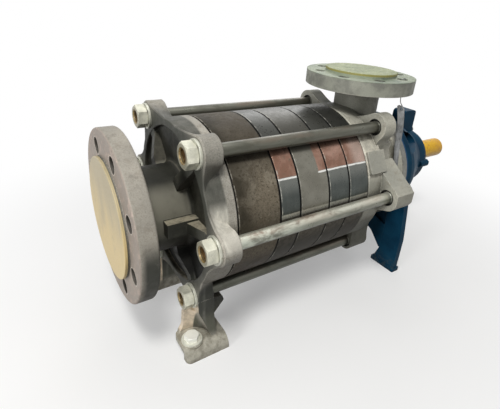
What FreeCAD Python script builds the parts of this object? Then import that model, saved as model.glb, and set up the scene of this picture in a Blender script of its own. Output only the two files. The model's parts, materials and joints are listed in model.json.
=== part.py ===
"""Side channel pump in six tie-rod clamped casings, with its bearing bracket.

Millimetres.  The origin is the centre of the suction flange, in its bolting face, on the shaft axis.
+X runs along the shaft to the drive end, +Z is up, -Y is the side of the square boss pad.
Each piece is built by its own function and written to its own file.
"""
import FreeCAD
import Part
import math
import os

from FreeCAD import Vector

# Clearances between mating pieces
running_clearance = 0.05
seat_clearance = 0.04
side_clearance = 0.3
thread_clearance = 0.05

# Pump body
shaft_height = 200.0
casing_radius = 122.5
joint_chamfer = 1.6
inlet_stage_length = 66.5
stage_1_suction_length = 34.0
stage_1_discharge_length = 53.5
stage_2_suction_length = 41.0
stage_2_discharge_length = 41.5
spigot_setback = 14.5
spigot_depth = 4.0
o_ring_width = 4.0
o_ring_depth = 2.4
o_ring_setback = 6.5

# Tie rods
tie_angles = (38.4, 88.2, 149.6)
tie_standoffs = (13.5, 13.5, 11.1)
tie_rod_radius = 10.0
tie_rod_shank_radius = 9.2
tie_rod_thread_grip = 22.0
tie_rod_recess = 4.0
thread_crest_radius = 8.65
nut_height = 14.5
nut_flats = 30.0
washer_thickness = 3.0
washer_radius = 18.5
lug_hole_clearance = 0.9

# Suction casing
suction_length = 122.0
suction_bore_radius = 50.0
suction_flange_radius = 117.5
suction_flange_thickness = 24.0
suction_hole_circle_radius = 95.0
suction_hole_radius = 11.0
suction_hole_count = 8
suction_face_radius = 81.0
raised_face_height = 3.0
suction_neck_radius = 60.0
suction_neck_fillet = 8.0
suction_lug_thickness = 25.0
suction_wall_thickness = 8.0
suction_recess_depth = 8.0
suction_rim_width = 10.5
suction_front_waist_setback = 1.5
suction_back_waist_setback = 18.5
suction_lower_lug_radius = 20.5
lug_radius = 22.0
lug_chamfer = 1.5
lower_lug_radius = 17.5
neck_rib_top = 13.0
neck_rib_depth = 20.0
neck_rib_reach = 73.5
neck_rib_length = 42.0
gusset_thickness = 15.0
gusset_length = 17.0
gusset_neck_reach = 72.0
gusset_rim_setback = 18.5
gusset_setback = 1.0

# Suction feet
foot_pad_toe = 17.0
foot_pad_inner = 60.0
foot_pad_outer = 111.0
foot_pad_thickness = 20.0
foot_pad_edge_radius = 18.5
foot_toe_lip = 7.0
foot_toe_undercut = 8.0
foot_toe_undercut_reach = 98.0
foot_seat_radius = 16.5
foot_bolt_setback = 10.0
foot_bolt_y = 87.0
foot_bolt_radius = 6.0
foot_bolt_hole_radius = 7.0
foot_bolt_head_flats = 19.0
foot_bolt_head_height = 7.5
foot_washer_radius = 15.0
foot_washer_thickness = 2.5
foot_pocket_radius = 26.0
foot_pocket_lean = 0.365
leg_inner = 52.0
leg_outer = 88.0
leg_flare = 98.0
leg_web_depth = 13.0
leg_web_inner = 58.0

# Inlet impeller and its guide wheel
inlet_tip_clearance = 12.0
inlet_impeller_width = 21.0
inlet_blade_count = 6
inlet_blade_thickness = 5.0
inlet_blade_sweep = 58.0
inlet_blade_centre_y = 34.0
inlet_blade_centre_z = -26.0
inlet_chamber_wall = 34.5
inlet_chamber_gap = 1.0
stage_cavity_wall = 24.5
stage_end_wall = 11.0
guide_hub_radius = 42.0
guide_vane_count = 8
guide_vane_thickness = 6.0
guide_front_gap = 5.0

# Side channel stages
star_wall = 34.5
star_width = 23.8
star_hub_radius = 50.0
star_vane_count = 24
star_vane_thickness = 4.2
star_tip_clearance = 0.4
channel_wall = 49.5
channel_depth = 11.0
channel_sweep = 300.0
inlet_port_wall = 58.5
inlet_port_width = 17.0
inlet_port_sweep = 46.0
outlet_port_radius = 9.0
transfer_cavity_wall = 30.5
stage_1_wall_behind_channel = 24.0

# Discharge casing
discharge_centre_from_joint = 69.0
discharge_height = 175.0
discharge_bore_radius = 32.5
discharge_flange_radius = 92.5
discharge_flange_thickness = 22.0
discharge_hole_circle_radius = 72.5
discharge_hole_radius = 9.0
discharge_hole_count = 8
discharge_face_radius = 61.0
nozzle_neck_radius = 38.5
nozzle_bend_height = 112.0
discharge_wall_from_joint = 29.5
discharge_wall_thickness = 40.0
upper_lug_thickness = 25.0
upper_lug_cut_height = 80.0
discharge_waist_setback = 15.5
mid_lug_tip = 21.0
mid_lug_top = 15.0
mid_lug_bottom = 3.0
mid_lug_root_top = 54.0
mid_lug_root_bottom = 36.0
discharge_cavity_wall = 26.5
discharge_rear_neck_radius = 86.0
discharge_rear_flange_radius = 102.0
discharge_rear_flange_thickness = 14.0
discharge_length = 111.5
seal_chamber_wall = 24.0
boss_pad_angle = 62.0
boss_pad_size = 36.0
boss_pad_from_joint = 2.0
boss_pad_rise = 4.5

# Shaft seal
seal_bore_radius = 46.0
seal_housing_flange_thickness = 12.0
seal_chamber_radius = 35.0
seal_tube_radius = 56.0
seal_tube_length = 22.0
seal_tube_end_wall = 10.0
seal_seat_radius = 31.0
seal_seat_thickness = 9.0
seal_ring_thickness = 10.0
seal_bellows_length = 16.0
seal_bellows_radius = 30.0
seal_bellows_root_radius = 25.5
seal_collar_thickness = 10.0
seal_collar_radius = 31.0
seal_face_radius = 28.0
seal_face_gap = 0.1

# Bearing bracket
bracket_flange_radius = 99.5
bracket_flange_thickness = 18.0
lantern_wall = 10.0
lantern_large_radius = 97.0
lantern_middle_radius = 81.0
lantern_middle_from_flange = 39.0
lantern_length = 66.0
lantern_small_radius = 65.0
bearing_housing_radius = 57.5
bearing_housing_length = 34.0
window_start = 4.0
window_length = 69.0
window_bottom = 44.0
window_top_front = 80.0
window_top_back = 57.0
drain_slot_half_width = 17.0
drain_slot_length = 40.0
bracket_ear_length = 38.0
bracket_ear_width = 28.0
bracket_ear_top = 100.0
bracket_leg_setback = 14.0
bracket_leg_thickness = 12.0
bracket_toe_length = 20.0
bracket_toe_height = 7.0
bracket_rib_length = 22.0
bracket_rib_thickness = 10.0
bracket_foot_boss_radius = 10.0
bracket_foot_boss_height = 22.0
bracket_leg_outer = 113.0
bracket_leg_inner = 58.0
bracket_web_reach = 76.0
bracket_web_thickness = 9.0
bracket_web_recess_wall = 3.0
bracket_screw_circle_radius = 72.0
bracket_screw_radius = 6.0
bracket_screw_grip = 20.0
bracket_screw_count = 6
bracket_foot_hole_radius = 4.2
bracket_foot_hole_depth = 18.0
bracket_foot_hole_setback = 36.0

# Rolling bearing
bearing_bore_radius = 22.5
bearing_outer_radius = 50.0
bearing_width = 25.0
ball_radius = 8.7
ball_count = 8
cage_thickness = 4.4
cage_front_length = 7.0
cage_back_length = 11.0
race_thickness = 8.6
bearing_cover_thickness = 12.0
bearing_cover_radius = 53.0
bearing_cover_ear_radius = 7.5
bearing_cover_ear_thickness = 8.0
bearing_cover_screw_circle_radius = 55.0
bearing_cover_screw_radius = 3.0
bearing_cover_screw_depth = 14.0
bearing_cover_screw_count = 4
lip_seal_radius = 31.0
lock_nut_radius = 29.0

# Shaft and sleeves
shaft_nose_length = 26.0
shaft_thread_radius = 12.0
shaft_wet_radius = 17.5
shaft_seal_radius = 21.0
shaft_seal_radius_start = 372.0
shaft_collar_radius = 27.0
shaft_collar_thickness = 9.0
shaft_lip_radius = 21.5
drive_end_radius = 20.0
drive_end_length = 110.0
drive_end_chamfer = 2.5
drive_key_width = 12.0
drive_key_depth = 5.0
drive_key_length = 90.0
impeller_key_width = 8.0
impeller_key_height = 7.0
sleeve_radius = 22.5
bush_radius = 30.0
bush_length = 40.0
bush_setback = 2.0
thrower_radius = 36.0
thrower_hub_radius = 27.0
thrower_hub_length = 8.0
thrower_length = 14.0
thrower_setback = 26.0

# Transport covers
suction_cover_radius = 82.0
discharge_cover_radius = 61.0
cover_thickness = 3.5
cover_plug_depth = 14.0
cover_plug_wall = 2.5

# Radii that follow from the sizes above
tie_distances = tuple(casing_radius + standoff for standoff in tie_standoffs)
spigot_radius = casing_radius - spigot_setback
o_ring_radius = casing_radius - o_ring_setback
suction_recess_radius = casing_radius - suction_rim_width
suction_front_waist_radius = casing_radius - suction_front_waist_setback
suction_back_waist_radius = casing_radius - suction_back_waist_setback
gusset_rim_reach = casing_radius - gusset_rim_setback
inlet_chamber_radius = casing_radius - inlet_chamber_wall
inlet_impeller_radius = inlet_chamber_radius - inlet_tip_clearance
stage_cavity_radius = casing_radius - stage_cavity_wall
star_radius = casing_radius - star_wall
channel_radius = casing_radius - channel_wall
inlet_port_radius = casing_radius - inlet_port_wall
transfer_cavity_radius = casing_radius - transfer_cavity_wall
discharge_waist_radius = casing_radius - discharge_waist_setback
discharge_cavity_radius = casing_radius - discharge_cavity_wall
mid_lug_reach = tie_distances[1] + mid_lug_tip
boss_pad_level = casing_radius + boss_pad_rise
bearing_pitch_radius = (bearing_bore_radius + bearing_outer_radius) / 2.0

# Places along the shaft that follow from the sizes above
joint_1 = suction_length
joint_2 = joint_1 + inlet_stage_length
joint_3 = joint_2 + stage_1_suction_length
joint_4 = joint_3 + stage_1_discharge_length
joint_5 = joint_4 + stage_2_suction_length
joint_6 = joint_5 + stage_2_discharge_length
discharge_centre = joint_6 + discharge_centre_from_joint
discharge_wall_front = joint_6 + discharge_wall_from_joint
discharge_wall_back = discharge_wall_front + discharge_wall_thickness
discharge_back = joint_6 + discharge_length
bracket_front = discharge_back + seal_housing_flange_thickness
bracket_flange_back = bracket_front + bracket_flange_thickness
housing_front = bracket_flange_back + lantern_length
housing_back = housing_front + bearing_housing_length
bearing_back = housing_back - 9.0
bearing_front = bearing_back - bearing_width
drive_end_start = housing_back + bearing_cover_thickness
shaft_end = drive_end_start + drive_end_length
star_recess = star_width + 2.0 * side_clearance
star_1_start = joint_3 - side_clearance - star_width
star_2_start = joint_5 - side_clearance - star_width
inlet_impeller_back = joint_1 - 1.0
inlet_impeller_front = inlet_impeller_back - inlet_impeller_width
inlet_chamber_front = inlet_impeller_front - inlet_chamber_gap
shaft_tip = inlet_impeller_front - shaft_nose_length
suction_wall_front = inlet_chamber_front - suction_wall_thickness
suction_lug_front = suction_wall_front - suction_recess_depth
suction_lug_back = suction_lug_front + suction_lug_thickness
neck_rib_start = suction_wall_front - neck_rib_length
gusset_start = suction_wall_front - gusset_length
leg_web_front = suction_lug_front - leg_web_depth
foot_bolt_x = suction_lug_front - foot_bolt_setback
foot_pad_left = foot_bolt_x - foot_pad_toe
seat_front = bracket_front + seal_tube_length - seal_tube_end_wall - seal_seat_thickness
rotating_ring_back = seat_front - seal_face_gap
rotating_ring_front = rotating_ring_back - seal_ring_thickness
bellows_front = rotating_ring_front - seal_bellows_length
collar_front = bellows_front - seal_collar_thickness

x_axis = Vector(1.0, 0.0, 0.0)
z_axis = Vector(0.0, 0.0, 1.0)
origin = Vector(0.0, 0.0, 0.0)
overshoot = 1.0


def bar(radius, start, end, y=0.0, z=0.0):
    """Round bar lying along the shaft direction."""
    return Part.makeCylinder(radius, end - start, Vector(start, y, z), x_axis)


def post(radius, x, y, low, high):
    """Upright round bar."""
    return Part.makeCylinder(radius, high - low, Vector(x, y, low), z_axis)


def block(x_low, x_high, y_low, y_high, z_low, z_high):
    """Rectangular block between two corners."""
    corner = Vector(x_low, y_low, z_low)
    return Part.makeBox(x_high - x_low, y_high - y_low, z_high - z_low, corner)


def fused(pieces):
    """One solid from pieces that run into each other."""
    whole = pieces[0].multiFuse(pieces[1:])
    return whole.removeSplitter()


def rounded_wire(corners, place):
    """Closed outline through corners (a, b, radius), each rounded by an arc of its radius."""
    edges = []
    marks = []
    count = len(corners)
    for index in range(count):
        here = place(corners[index][0], corners[index][1])
        before = place(corners[index - 1][0], corners[index - 1][1])
        after = place(corners[(index + 1) % count][0], corners[(index + 1) % count][1])
        radius = corners[index][2]
        if radius == 0.0:
            marks.append((here, here, here))
            continue
        back = (before - here).normalize()
        ahead = (after - here).normalize()
        half = back.getAngle(ahead) / 2.0
        run = radius / math.tan(half)
        middle = here + (back + ahead).normalize() * (radius / math.sin(half) - radius)
        marks.append((here + back * run, middle, here + ahead * run))
    for index in range(count):
        arrive, middle, leave = marks[index]
        if (leave - arrive).Length > 1e-6:
            edges.append(Part.Arc(arrive, middle, leave).toShape())
        next_arrive = marks[(index + 1) % count][0]
        if (next_arrive - leave).Length > 1e-6:
            edges.append(Part.makeLine(leave, next_arrive))
    return Part.Wire(edges)


def turned(corners):
    """Solid of revolution about the shaft axis from corners (x, radius, fillet)."""
    profile = rounded_wire(corners, lambda a, b: Vector(a, 0.0, b))
    return Part.Face(profile).revolve(origin, x_axis, 360.0)


def ring(outer, inner, start, end):
    """Plain ring about the shaft axis."""
    return turned([(start, inner, 0.0), (start, outer, 0.0), (end, outer, 0.0), (end, inner, 0.0)])


def slab_across(corners, start, end):
    """Wall across the shaft direction from an outline of corners (y, z, radius)."""
    outline = rounded_wire(corners, lambda a, b: Vector(start, a, b))
    return Part.Face(outline).extrude(Vector(end - start, 0.0, 0.0))


def slab_beside(corners, y_low, y_high):
    """Wall along the shaft direction from an outline of corners (x, z, radius)."""
    outline = rounded_wire(corners, lambda a, b: Vector(a, y_low, b))
    return Part.Face(outline).extrude(Vector(0.0, y_high - y_low, 0.0))


def slab_flat(corners, low, high):
    """Level plate from an outline of corners (x, y, radius)."""
    outline = rounded_wire(corners, lambda a, b: Vector(a, b, low))
    return Part.Face(outline).extrude(Vector(0.0, 0.0, high - low))


def mirrored(shape):
    """The same shape on the other side of the shaft."""
    return shape.mirror(origin, Vector(0.0, 1.0, 0.0))


def around_shaft(shape, angle):
    """The shape turned about the shaft axis."""
    copy = shape.copy()
    copy.rotate(origin, x_axis, angle)
    return copy


def repeated(shape, count, first=0.0):
    """Copies of the shape spread evenly about the shaft axis."""
    return [around_shaft(shape, first + 360.0 * index / count) for index in range(count)]


def hexagon(flats, start, end, radius_limit):
    """Hexagonal bar along the shaft direction, its ends chamfered by a cone of the limit."""
    corner = flats / math.sqrt(3.0)
    points = []
    for index in range(7):
        angle = math.radians(60.0 * index)
        points.append(Vector(start, corner * math.cos(angle), corner * math.sin(angle)))
    prism = Part.Face(Part.makePolygon(points)).extrude(Vector(end - start, 0.0, 0.0))
    bevel = (corner - radius_limit) / math.sqrt(3.0)
    envelope = turned([
        (start, 0.0, 0.0), (start, radius_limit, 0.0), (start + bevel, corner + 0.01, 0.0),
        (end, corner + 0.01, 0.0), (end, 0.0, 0.0)])
    return prism.common(envelope)


def moved(shape, x=0.0, y=0.0, z=0.0):
    """The shape carried to another place."""
    copy = shape.copy()
    copy.translate(Vector(x, y, z))
    return copy


def tie_places():
    """Places (y, z) of all tie rods, in order round the shaft from straight up."""
    angles = list(tie_angles) + [360.0 - angle for angle in reversed(tie_angles)]
    distances = list(tie_distances) + list(reversed(tie_distances))
    places = []
    for angle, distance in zip(angles, distances):
        bearing = math.radians(angle)
        places.append((-distance * math.sin(bearing), distance * math.cos(bearing)))
    return places


def at_each_tie_rod(shape):
    """Copies of a shape drawn on the shaft axis, one at each tie rod."""
    return [moved(shape, 0.0, y, z) for y, z in tie_places()]


def hollow_flank(lug, lug_size, next_lug, next_size, waist_radius):
    """Centre and radius of the circle outside the wall that touches both lugs and the waist.

    The centre p lies at its radius plus waist_radius from the shaft, and at its radius plus the
    lug's size from each lug.  Both lug conditions are linear in p and the radius, so they give
    p = base + radius * slope, and the waist condition then gives the radius.
    """
    area = lug.y * next_lug.z - lug.z * next_lug.y

    def solved(first, second):
        return Vector(0.0, (first * next_lug.z - second * lug.z) / area,
                      (second * lug.y - first * next_lug.y) / area)

    base = solved((lug.dot(lug) + waist_radius ** 2 - lug_size ** 2) / 2.0,
                  (next_lug.dot(next_lug) + waist_radius ** 2 - next_size ** 2) / 2.0)
    slope = solved(waist_radius - lug_size, waist_radius - next_size)
    a = slope.dot(slope) - 1.0
    b = 2.0 * (base.dot(slope) - waist_radius)
    c = base.dot(base) - waist_radius ** 2
    root = math.sqrt(b * b - 4.0 * a * c)
    radius = max((-b + root) / (2.0 * a), (-b - root) / (2.0 * a))
    return base + slope * radius


def star_outline(place, waist_radius, lower_size, inset=0.0):
    """Outline with a round lug at each tie rod and hollow flanks between, drawn in by the inset."""
    upper = lug_radius - inset
    lower = lower_size - inset
    waist = waist_radius - inset
    sizes = (upper, upper, lower, lower, upper, upper)
    lugs = [Vector(0.0, y, z) for y, z in tie_places()]
    count = len(lugs)
    hollows = []
    for index in range(count):
        after = (index + 1) % count
        hollows.append(hollow_flank(lugs[index], sizes[index], lugs[after], sizes[after], waist))
    edges = []
    for index in range(count):
        lug = lugs[index]
        next_lug = lugs[(index + 1) % count]
        before = hollows[index - 1]
        after = hollows[index]
        arrive = lug + (before - lug).normalize() * sizes[index]
        leave = lug + (after - lug).normalize() * sizes[index]
        tip = lug + Vector(lug).normalize() * sizes[index]
        deepest = Vector(after).normalize() * waist
        landing = next_lug + (after - next_lug).normalize() * sizes[(index + 1) % count]
        edges.append(Part.Arc(arrive, tip, leave).toShape())
        edges.append(Part.Arc(leave, deepest, landing).toShape())
    outline = Part.Wire(edges)
    outline.translate(Vector(place, 0.0, 0.0))
    return outline


def star_wall(start, end, waist_radius, lower_size):
    """Wall of even thickness with the star's outline."""
    outline = star_outline(start, waist_radius, lower_size)
    return Part.Face(outline).extrude(Vector(end - start, 0.0, 0.0))


def tapered_star(start, end, front_waist, back_waist, lower_size):
    """Star with chamfered rims, its flanks drawn in towards the lugs at the back."""
    sections = [
        star_outline(start, front_waist, lower_size, lug_chamfer),
        star_outline(start + lug_chamfer, front_waist, lower_size),
        star_outline(end - lug_chamfer, back_waist, lower_size),
        star_outline(end, back_waist, lower_size, lug_chamfer)]
    return Part.makeLoft(sections, True, True)


def o_ring_groove(joint):
    """Groove for the sealing ring, cut into the piece that lies behind the joint."""
    inner = o_ring_radius - o_ring_width
    return ring(o_ring_radius, inner, joint - overshoot, joint + o_ring_depth)


def casing_blank(start, end, inner_radius):
    """Casing ring with chamfered rims, a spigot ahead and a recess for the next one behind."""
    return turned([
        (start, inner_radius, 0.0), (start, casing_radius - joint_chamfer, 0.0),
        (start + joint_chamfer, casing_radius, 0.0), (end - joint_chamfer, casing_radius, 0.0),
        (end, casing_radius - joint_chamfer, 0.0), (end, inner_radius, 0.0)])


def spigot(joint, inner_radius):
    """Short centring collar that stands out ahead of a joint."""
    return ring(spigot_radius - running_clearance, inner_radius, joint - spigot_depth, joint + overshoot)


def spigot_recess(joint, inner_radius):
    """Room in the piece ahead of a joint for the collar of the next one."""
    depth = spigot_depth + seat_clearance
    return ring(spigot_radius, inner_radius - overshoot, joint - depth, joint + overshoot)


# Suction casing

def foot_pad():
    """Pad of the foot with a round outer edge, a seat for the washer and an undercut toe."""
    sole = -shaft_height
    top = sole + foot_pad_thickness
    plan = slab_flat([
        (foot_pad_left, -foot_pad_inner, 10.0), (suction_length, -foot_pad_inner, 0.0),
        (suction_length, -foot_pad_outer, 0.0), (foot_pad_left, -foot_pad_outer, 8.0)], sole, top)
    section = slab_across([
        (-foot_pad_inner, top, 0.0), (-foot_pad_outer, top, foot_pad_edge_radius),
        (-foot_pad_outer, sole, 0.0), (-foot_pad_inner, sole, 0.0)], foot_pad_left, suction_length)
    seat = post(foot_seat_radius, foot_bolt_x, -foot_bolt_y, sole + foot_pad_thickness / 2.0, top)
    undercut = slab_beside([
        (foot_pad_left - overshoot, top - foot_toe_lip, 0.0),
        (foot_pad_left + foot_toe_undercut, sole - overshoot, 0.0),
        (foot_pad_left - overshoot, sole - overshoot, 0.0)], -foot_toe_undercut_reach, 0.0)
    return plan.common(section).fuse(seat).cut(undercut)


def suction_foot():
    """Foot on the -Y side: pad, leg with a web beside the bolt, leaning round pocket, ear."""
    pad_top = foot_pad_thickness - shaft_height
    root = pad_top - 6.0
    lug_y, lug_z = tie_places()[2]
    lug_low = lug_z - suction_lower_lug_radius
    leg = slab_across([
        (-leg_outer, lug_z, 0.0), (-leg_outer, lug_low - 8.0, 25.0), (-leg_flare, root, 0.0),
        (-leg_inner - 8.0, root, 0.0), (-leg_inner - 2.0, lug_low - 10.0, 30.0),
        (-leg_inner + 4.0, lug_z + 14.0, 0.0)], suction_lug_front, suction_lug_back)
    web = slab_beside([
        (suction_lug_front + overshoot, lug_low - 1.5, 0.0), (suction_lug_front - 4.0, lug_low - 1.5, 2.0),
        (leg_web_front, lug_low - 9.0, 6.0), (leg_web_front - 1.0, pad_top + 10.0, 12.0),
        (leg_web_front - 7.0, pad_top, 0.0), (leg_web_front - 7.0, root, 0.0),
        (suction_lug_front + overshoot, root, 0.0)], -leg_outer, -leg_web_inner)
    pocket_start = Vector(foot_bolt_x + 12.0 * foot_pocket_lean, -foot_bolt_y - 4.0, pad_top - 12.0)
    pocket = Part.makeCylinder(
        foot_pocket_radius, 90.0, pocket_start, Vector(-foot_pocket_lean, 0.0, 1.0))
    ear_top = lug_z - tie_rod_radius - lug_hole_clearance - 1.0
    ear = slab_beside([
        (suction_lug_back - overshoot, ear_top, 0.0), (suction_lug_back + 19.0, ear_top - 1.0, 3.0),
        (suction_lug_back + 22.0, lug_z - 22.0, 3.0), (suction_lug_back + 6.0, lug_z - 42.0, 3.0),
        (suction_lug_back - overshoot, lug_z - 46.0, 0.0)], lug_y - 9.0, lug_y + 5.0)
    return [foot_pad(), leg.fuse(web).cut(pocket), ear]


def foot_cross_web():
    """Arched web that ties the two suction legs together under the casing."""
    lug_z = tie_places()[2][1]
    back = suction_lug_back
    return slab_across([
        (-leg_inner - 6.0, lug_z + 20.0, 0.0), (-leg_inner - 6.0, lug_z - 34.0, 0.0),
        (-leg_inner + 14.0, lug_z - 20.0, 26.0), (leg_inner - 14.0, lug_z - 20.0, 26.0),
        (leg_inner + 6.0, lug_z - 34.0, 0.0), (leg_inner + 6.0, lug_z + 20.0, 0.0)],
        back - 12.0, back)


def neck_ribs():
    """Level stiffening ribs beside the suction neck, and a gusset towards each lug."""
    inside = suction_neck_radius - 6.0
    rib = block(neck_rib_start, suction_wall_front + overshoot, -neck_rib_reach, -inside,
                neck_rib_top - neck_rib_depth, neck_rib_top)
    gusset = slab_beside([
        (gusset_start, inside, 0.0), (gusset_start, gusset_neck_reach, 2.0),
        (suction_lug_front + gusset_setback, gusset_rim_reach, 2.0),
        (suction_lug_front + gusset_setback, suction_recess_radius + overshoot, 0.0),
        (suction_wall_front + overshoot, suction_recess_radius + overshoot, 0.0),
        (suction_wall_front + overshoot, inside, 0.0)], -gusset_thickness / 2.0, gusset_thickness / 2.0)
    gussets = []
    for angle in tie_angles:
        gussets.append(around_shaft(gusset, angle))
        gussets.append(around_shaft(gusset, -angle))
    return [rib, mirrored(rib)] + gussets


def flange_holes(circle_radius, hole_radius, count, depth):
    """Holes of a pipe flange that straddle its centre lines, drilled along +X from its face."""
    hole = bar(hole_radius, -overshoot, depth + overshoot, 0.0, circle_radius)
    return repeated(hole, count, 180.0 / count)


def suction_casing():
    flange_back = suction_flange_thickness
    body = turned([
        (-raised_face_height, suction_bore_radius, 0.0), (-raised_face_height, suction_face_radius, 0.0),
        (0.0, suction_face_radius, 0.0), (0.0, suction_flange_radius, 2.5),
        (flange_back, suction_flange_radius, 3.0), (flange_back, suction_neck_radius, 10.0),
        (suction_wall_front, suction_neck_radius, suction_neck_fillet),
        (suction_wall_front, suction_recess_radius, 3.0), (suction_lug_front, suction_recess_radius, 1.5),
        (suction_lug_front, casing_radius, lug_chamfer), (suction_length - joint_chamfer, casing_radius, 0.0),
        (suction_length, casing_radius - joint_chamfer, 0.0), (suction_length, suction_bore_radius, 0.0)])
    star = tapered_star(suction_lug_front, suction_lug_back, suction_front_waist_radius,
                        suction_back_waist_radius, suction_lower_lug_radius)
    star = star.cut(bar(suction_recess_radius + 5.0, 0.0, suction_length))
    foot = suction_foot()
    pieces = [body, star, foot_cross_web()] + neck_ribs() + foot
    pieces = pieces + [mirrored(piece) for piece in foot]
    casing = fused(pieces)
    chamber = bar(inlet_chamber_radius, inlet_chamber_front, suction_length + overshoot)
    bore = bar(suction_bore_radius, -raised_face_height - overshoot, suction_length)
    holes = flange_holes(suction_hole_circle_radius, suction_hole_radius, suction_hole_count, flange_back)
    rod_hole = bar(tie_rod_radius + lug_hole_clearance, suction_lug_front - overshoot,
                   suction_lug_back + overshoot)
    bolt_hole = post(foot_bolt_hole_radius, foot_bolt_x, -foot_bolt_y, -shaft_height - overshoot, -100.0)
    cuts = [chamber, bore, spigot_recess(joint_1, inlet_chamber_radius), bolt_hole, mirrored(bolt_hole)]
    return casing.cut(Part.makeCompound(cuts + holes + at_each_tie_rod(rod_hole)))


# Inlet stage

def inlet_stage_casing():
    """Shell round the guide wheel, closed behind by a wall with the port to the first stage."""
    shell = casing_blank(joint_1, joint_2, sleeve_radius + 2.0)
    shell = shell.fuse(spigot(joint_1, stage_cavity_radius))
    cavity = bar(stage_cavity_radius, joint_1 - overshoot - spigot_depth, joint_2 - stage_end_wall)
    shell = shell.cut(cavity)
    return shell.cut(Part.makeCompound([o_ring_groove(joint_1), port_slot(joint_2 - stage_end_wall, joint_2),
                                        spigot_recess(joint_2, transfer_cavity_radius)]))


def port_slot(start, end):
    """Curved slot about the shaft, rounded at both ends, for the liquid to pass a wall."""
    outer = inlet_port_radius + inlet_port_width / 2.0
    inner = inlet_port_radius - inlet_port_width / 2.0
    section = Part.Face(Part.makePolygon([
        Vector(start - overshoot, 0.0, inner), Vector(start - overshoot, 0.0, outer),
        Vector(end + overshoot, 0.0, outer), Vector(end + overshoot, 0.0, inner),
        Vector(start - overshoot, 0.0, inner)]))
    arc = section.revolve(origin, x_axis, inlet_port_sweep)
    end_hole = bar(inlet_port_width / 2.0, start - overshoot, end + overshoot, 0.0, inlet_port_radius)
    return arc.fuse([end_hole, around_shaft(end_hole, inlet_port_sweep)])


def guide_wheel():
    """Hub and curved vanes that lead the liquid from the inlet impeller to the first stage."""
    start = joint_1 + guide_front_gap
    end = joint_2 - stage_end_wall
    hub = ring(guide_hub_radius, bush_radius + seat_clearance, start, end)
    outer = stage_cavity_radius - running_clearance
    sweep_radius = 90.0
    middle = Vector(start, guide_hub_radius + 30.0, -sweep_radius + 18.0)
    vane_outer = Part.makeCylinder(sweep_radius, end - start, middle, x_axis)
    vane_inner = Part.makeCylinder(sweep_radius - guide_vane_thickness, end - start, middle, x_axis)
    vane = vane_outer.cut(vane_inner)
    vane = vane.common(block(start, end, guide_hub_radius * 0.2, outer, 0.0, outer))
    vane = vane.common(ring(outer, guide_hub_radius - 2.0, start, end))
    return fused([hub] + repeated(vane, guide_vane_count))


def sleeve_bearing_bush():
    """Plain bearing of the wet shaft end, pressed into the guide wheel's hub."""
    start = joint_1 + guide_front_gap
    return ring(bush_radius, sleeve_radius + running_clearance, start + bush_setback,
                start + bush_setback + bush_length)


def inlet_impeller():
    """Open impeller with swept blades, a back plate and a hub."""
    back = inlet_impeller_back
    front = inlet_impeller_front
    hub = turned([
        (front - 2.0, shaft_wet_radius + seat_clearance, 0.0), (front - 2.0, 27.0, 2.0),
        (back - 4.0, 32.0, 6.0), (back - 4.0, inlet_impeller_radius, 0.0),
        (back, inlet_impeller_radius, 0.0), (back, shaft_wet_radius + seat_clearance, 0.0)])
    middle = Vector(front, inlet_blade_centre_y, inlet_blade_centre_z)
    outer = Part.makeCylinder(inlet_blade_sweep, back - 3.0 - front, middle, x_axis)
    inner = Part.makeCylinder(inlet_blade_sweep - inlet_blade_thickness, back - 3.0 - front, middle, x_axis)
    envelope = turned([
        (front, 24.0, 0.0), (front, 46.0, 0.0), (front + 6.0, inlet_impeller_radius, 0.0),
        (back - 3.0, inlet_impeller_radius, 0.0), (back - 3.0, 24.0, 0.0)])
    blade = outer.cut(inner).common(envelope)
    blade = blade.common(block(front, back, 0.0, 80.0, 0.0, 80.0))
    wheel = fused([hub] + repeated(blade, inlet_blade_count))
    return wheel.cut(key_slot(front - 3.0, back + overshoot))


def key_slot(start, end):
    """Room for an impeller key, above the shaft."""
    half = impeller_key_width / 2.0 + seat_clearance
    top = shaft_wet_radius + impeller_key_height / 2.0 + seat_clearance
    return block(start, end, -half, half, 0.0, top)


# Side channel stages

def side_channel(face):
    """Round-bottomed channel that starts at the face and runs round most of the circle."""
    circle = Part.Face(Part.Wire(Part.makeCircle(channel_depth, Vector(face, 0.0, channel_radius),
                                                 Vector(0.0, 1.0, 0.0))))
    half = circle.common(block(face, face + 2.0 * channel_depth, -overshoot, overshoot, 0.0, casing_radius))
    channel = half.revolve(origin, x_axis, channel_sweep)
    return around_shaft(channel, (360.0 - channel_sweep) / 2.0 + 20.0)


def shaft_passage(start, end):
    """Throttling bore round a shaft sleeve."""
    return bar(sleeve_radius + 2.0 * running_clearance, start - overshoot, end + overshoot)


def suction_plate(joint, next_joint):
    """Stage plate that holds the star impeller; a slot through its wall lets the liquid in."""
    plate = casing_blank(joint, next_joint, 10.0).fuse(spigot(joint, transfer_cavity_radius))
    wall_start = next_joint - star_recess
    recess = bar(star_radius + star_tip_clearance, wall_start, next_joint + overshoot)
    entry_depth = wall_start - joint - 10.0
    cuts = [recess, shaft_passage(joint, next_joint), port_slot(joint, wall_start),
            o_ring_groove(joint), spigot_recess(next_joint, star_radius + star_tip_clearance)]
    if entry_depth > 0.0:
        cuts.append(ring(transfer_cavity_radius - 4.0, 34.0, joint - overshoot, joint + entry_depth))
    return plate.cut(Part.makeCompound(cuts))


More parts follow.
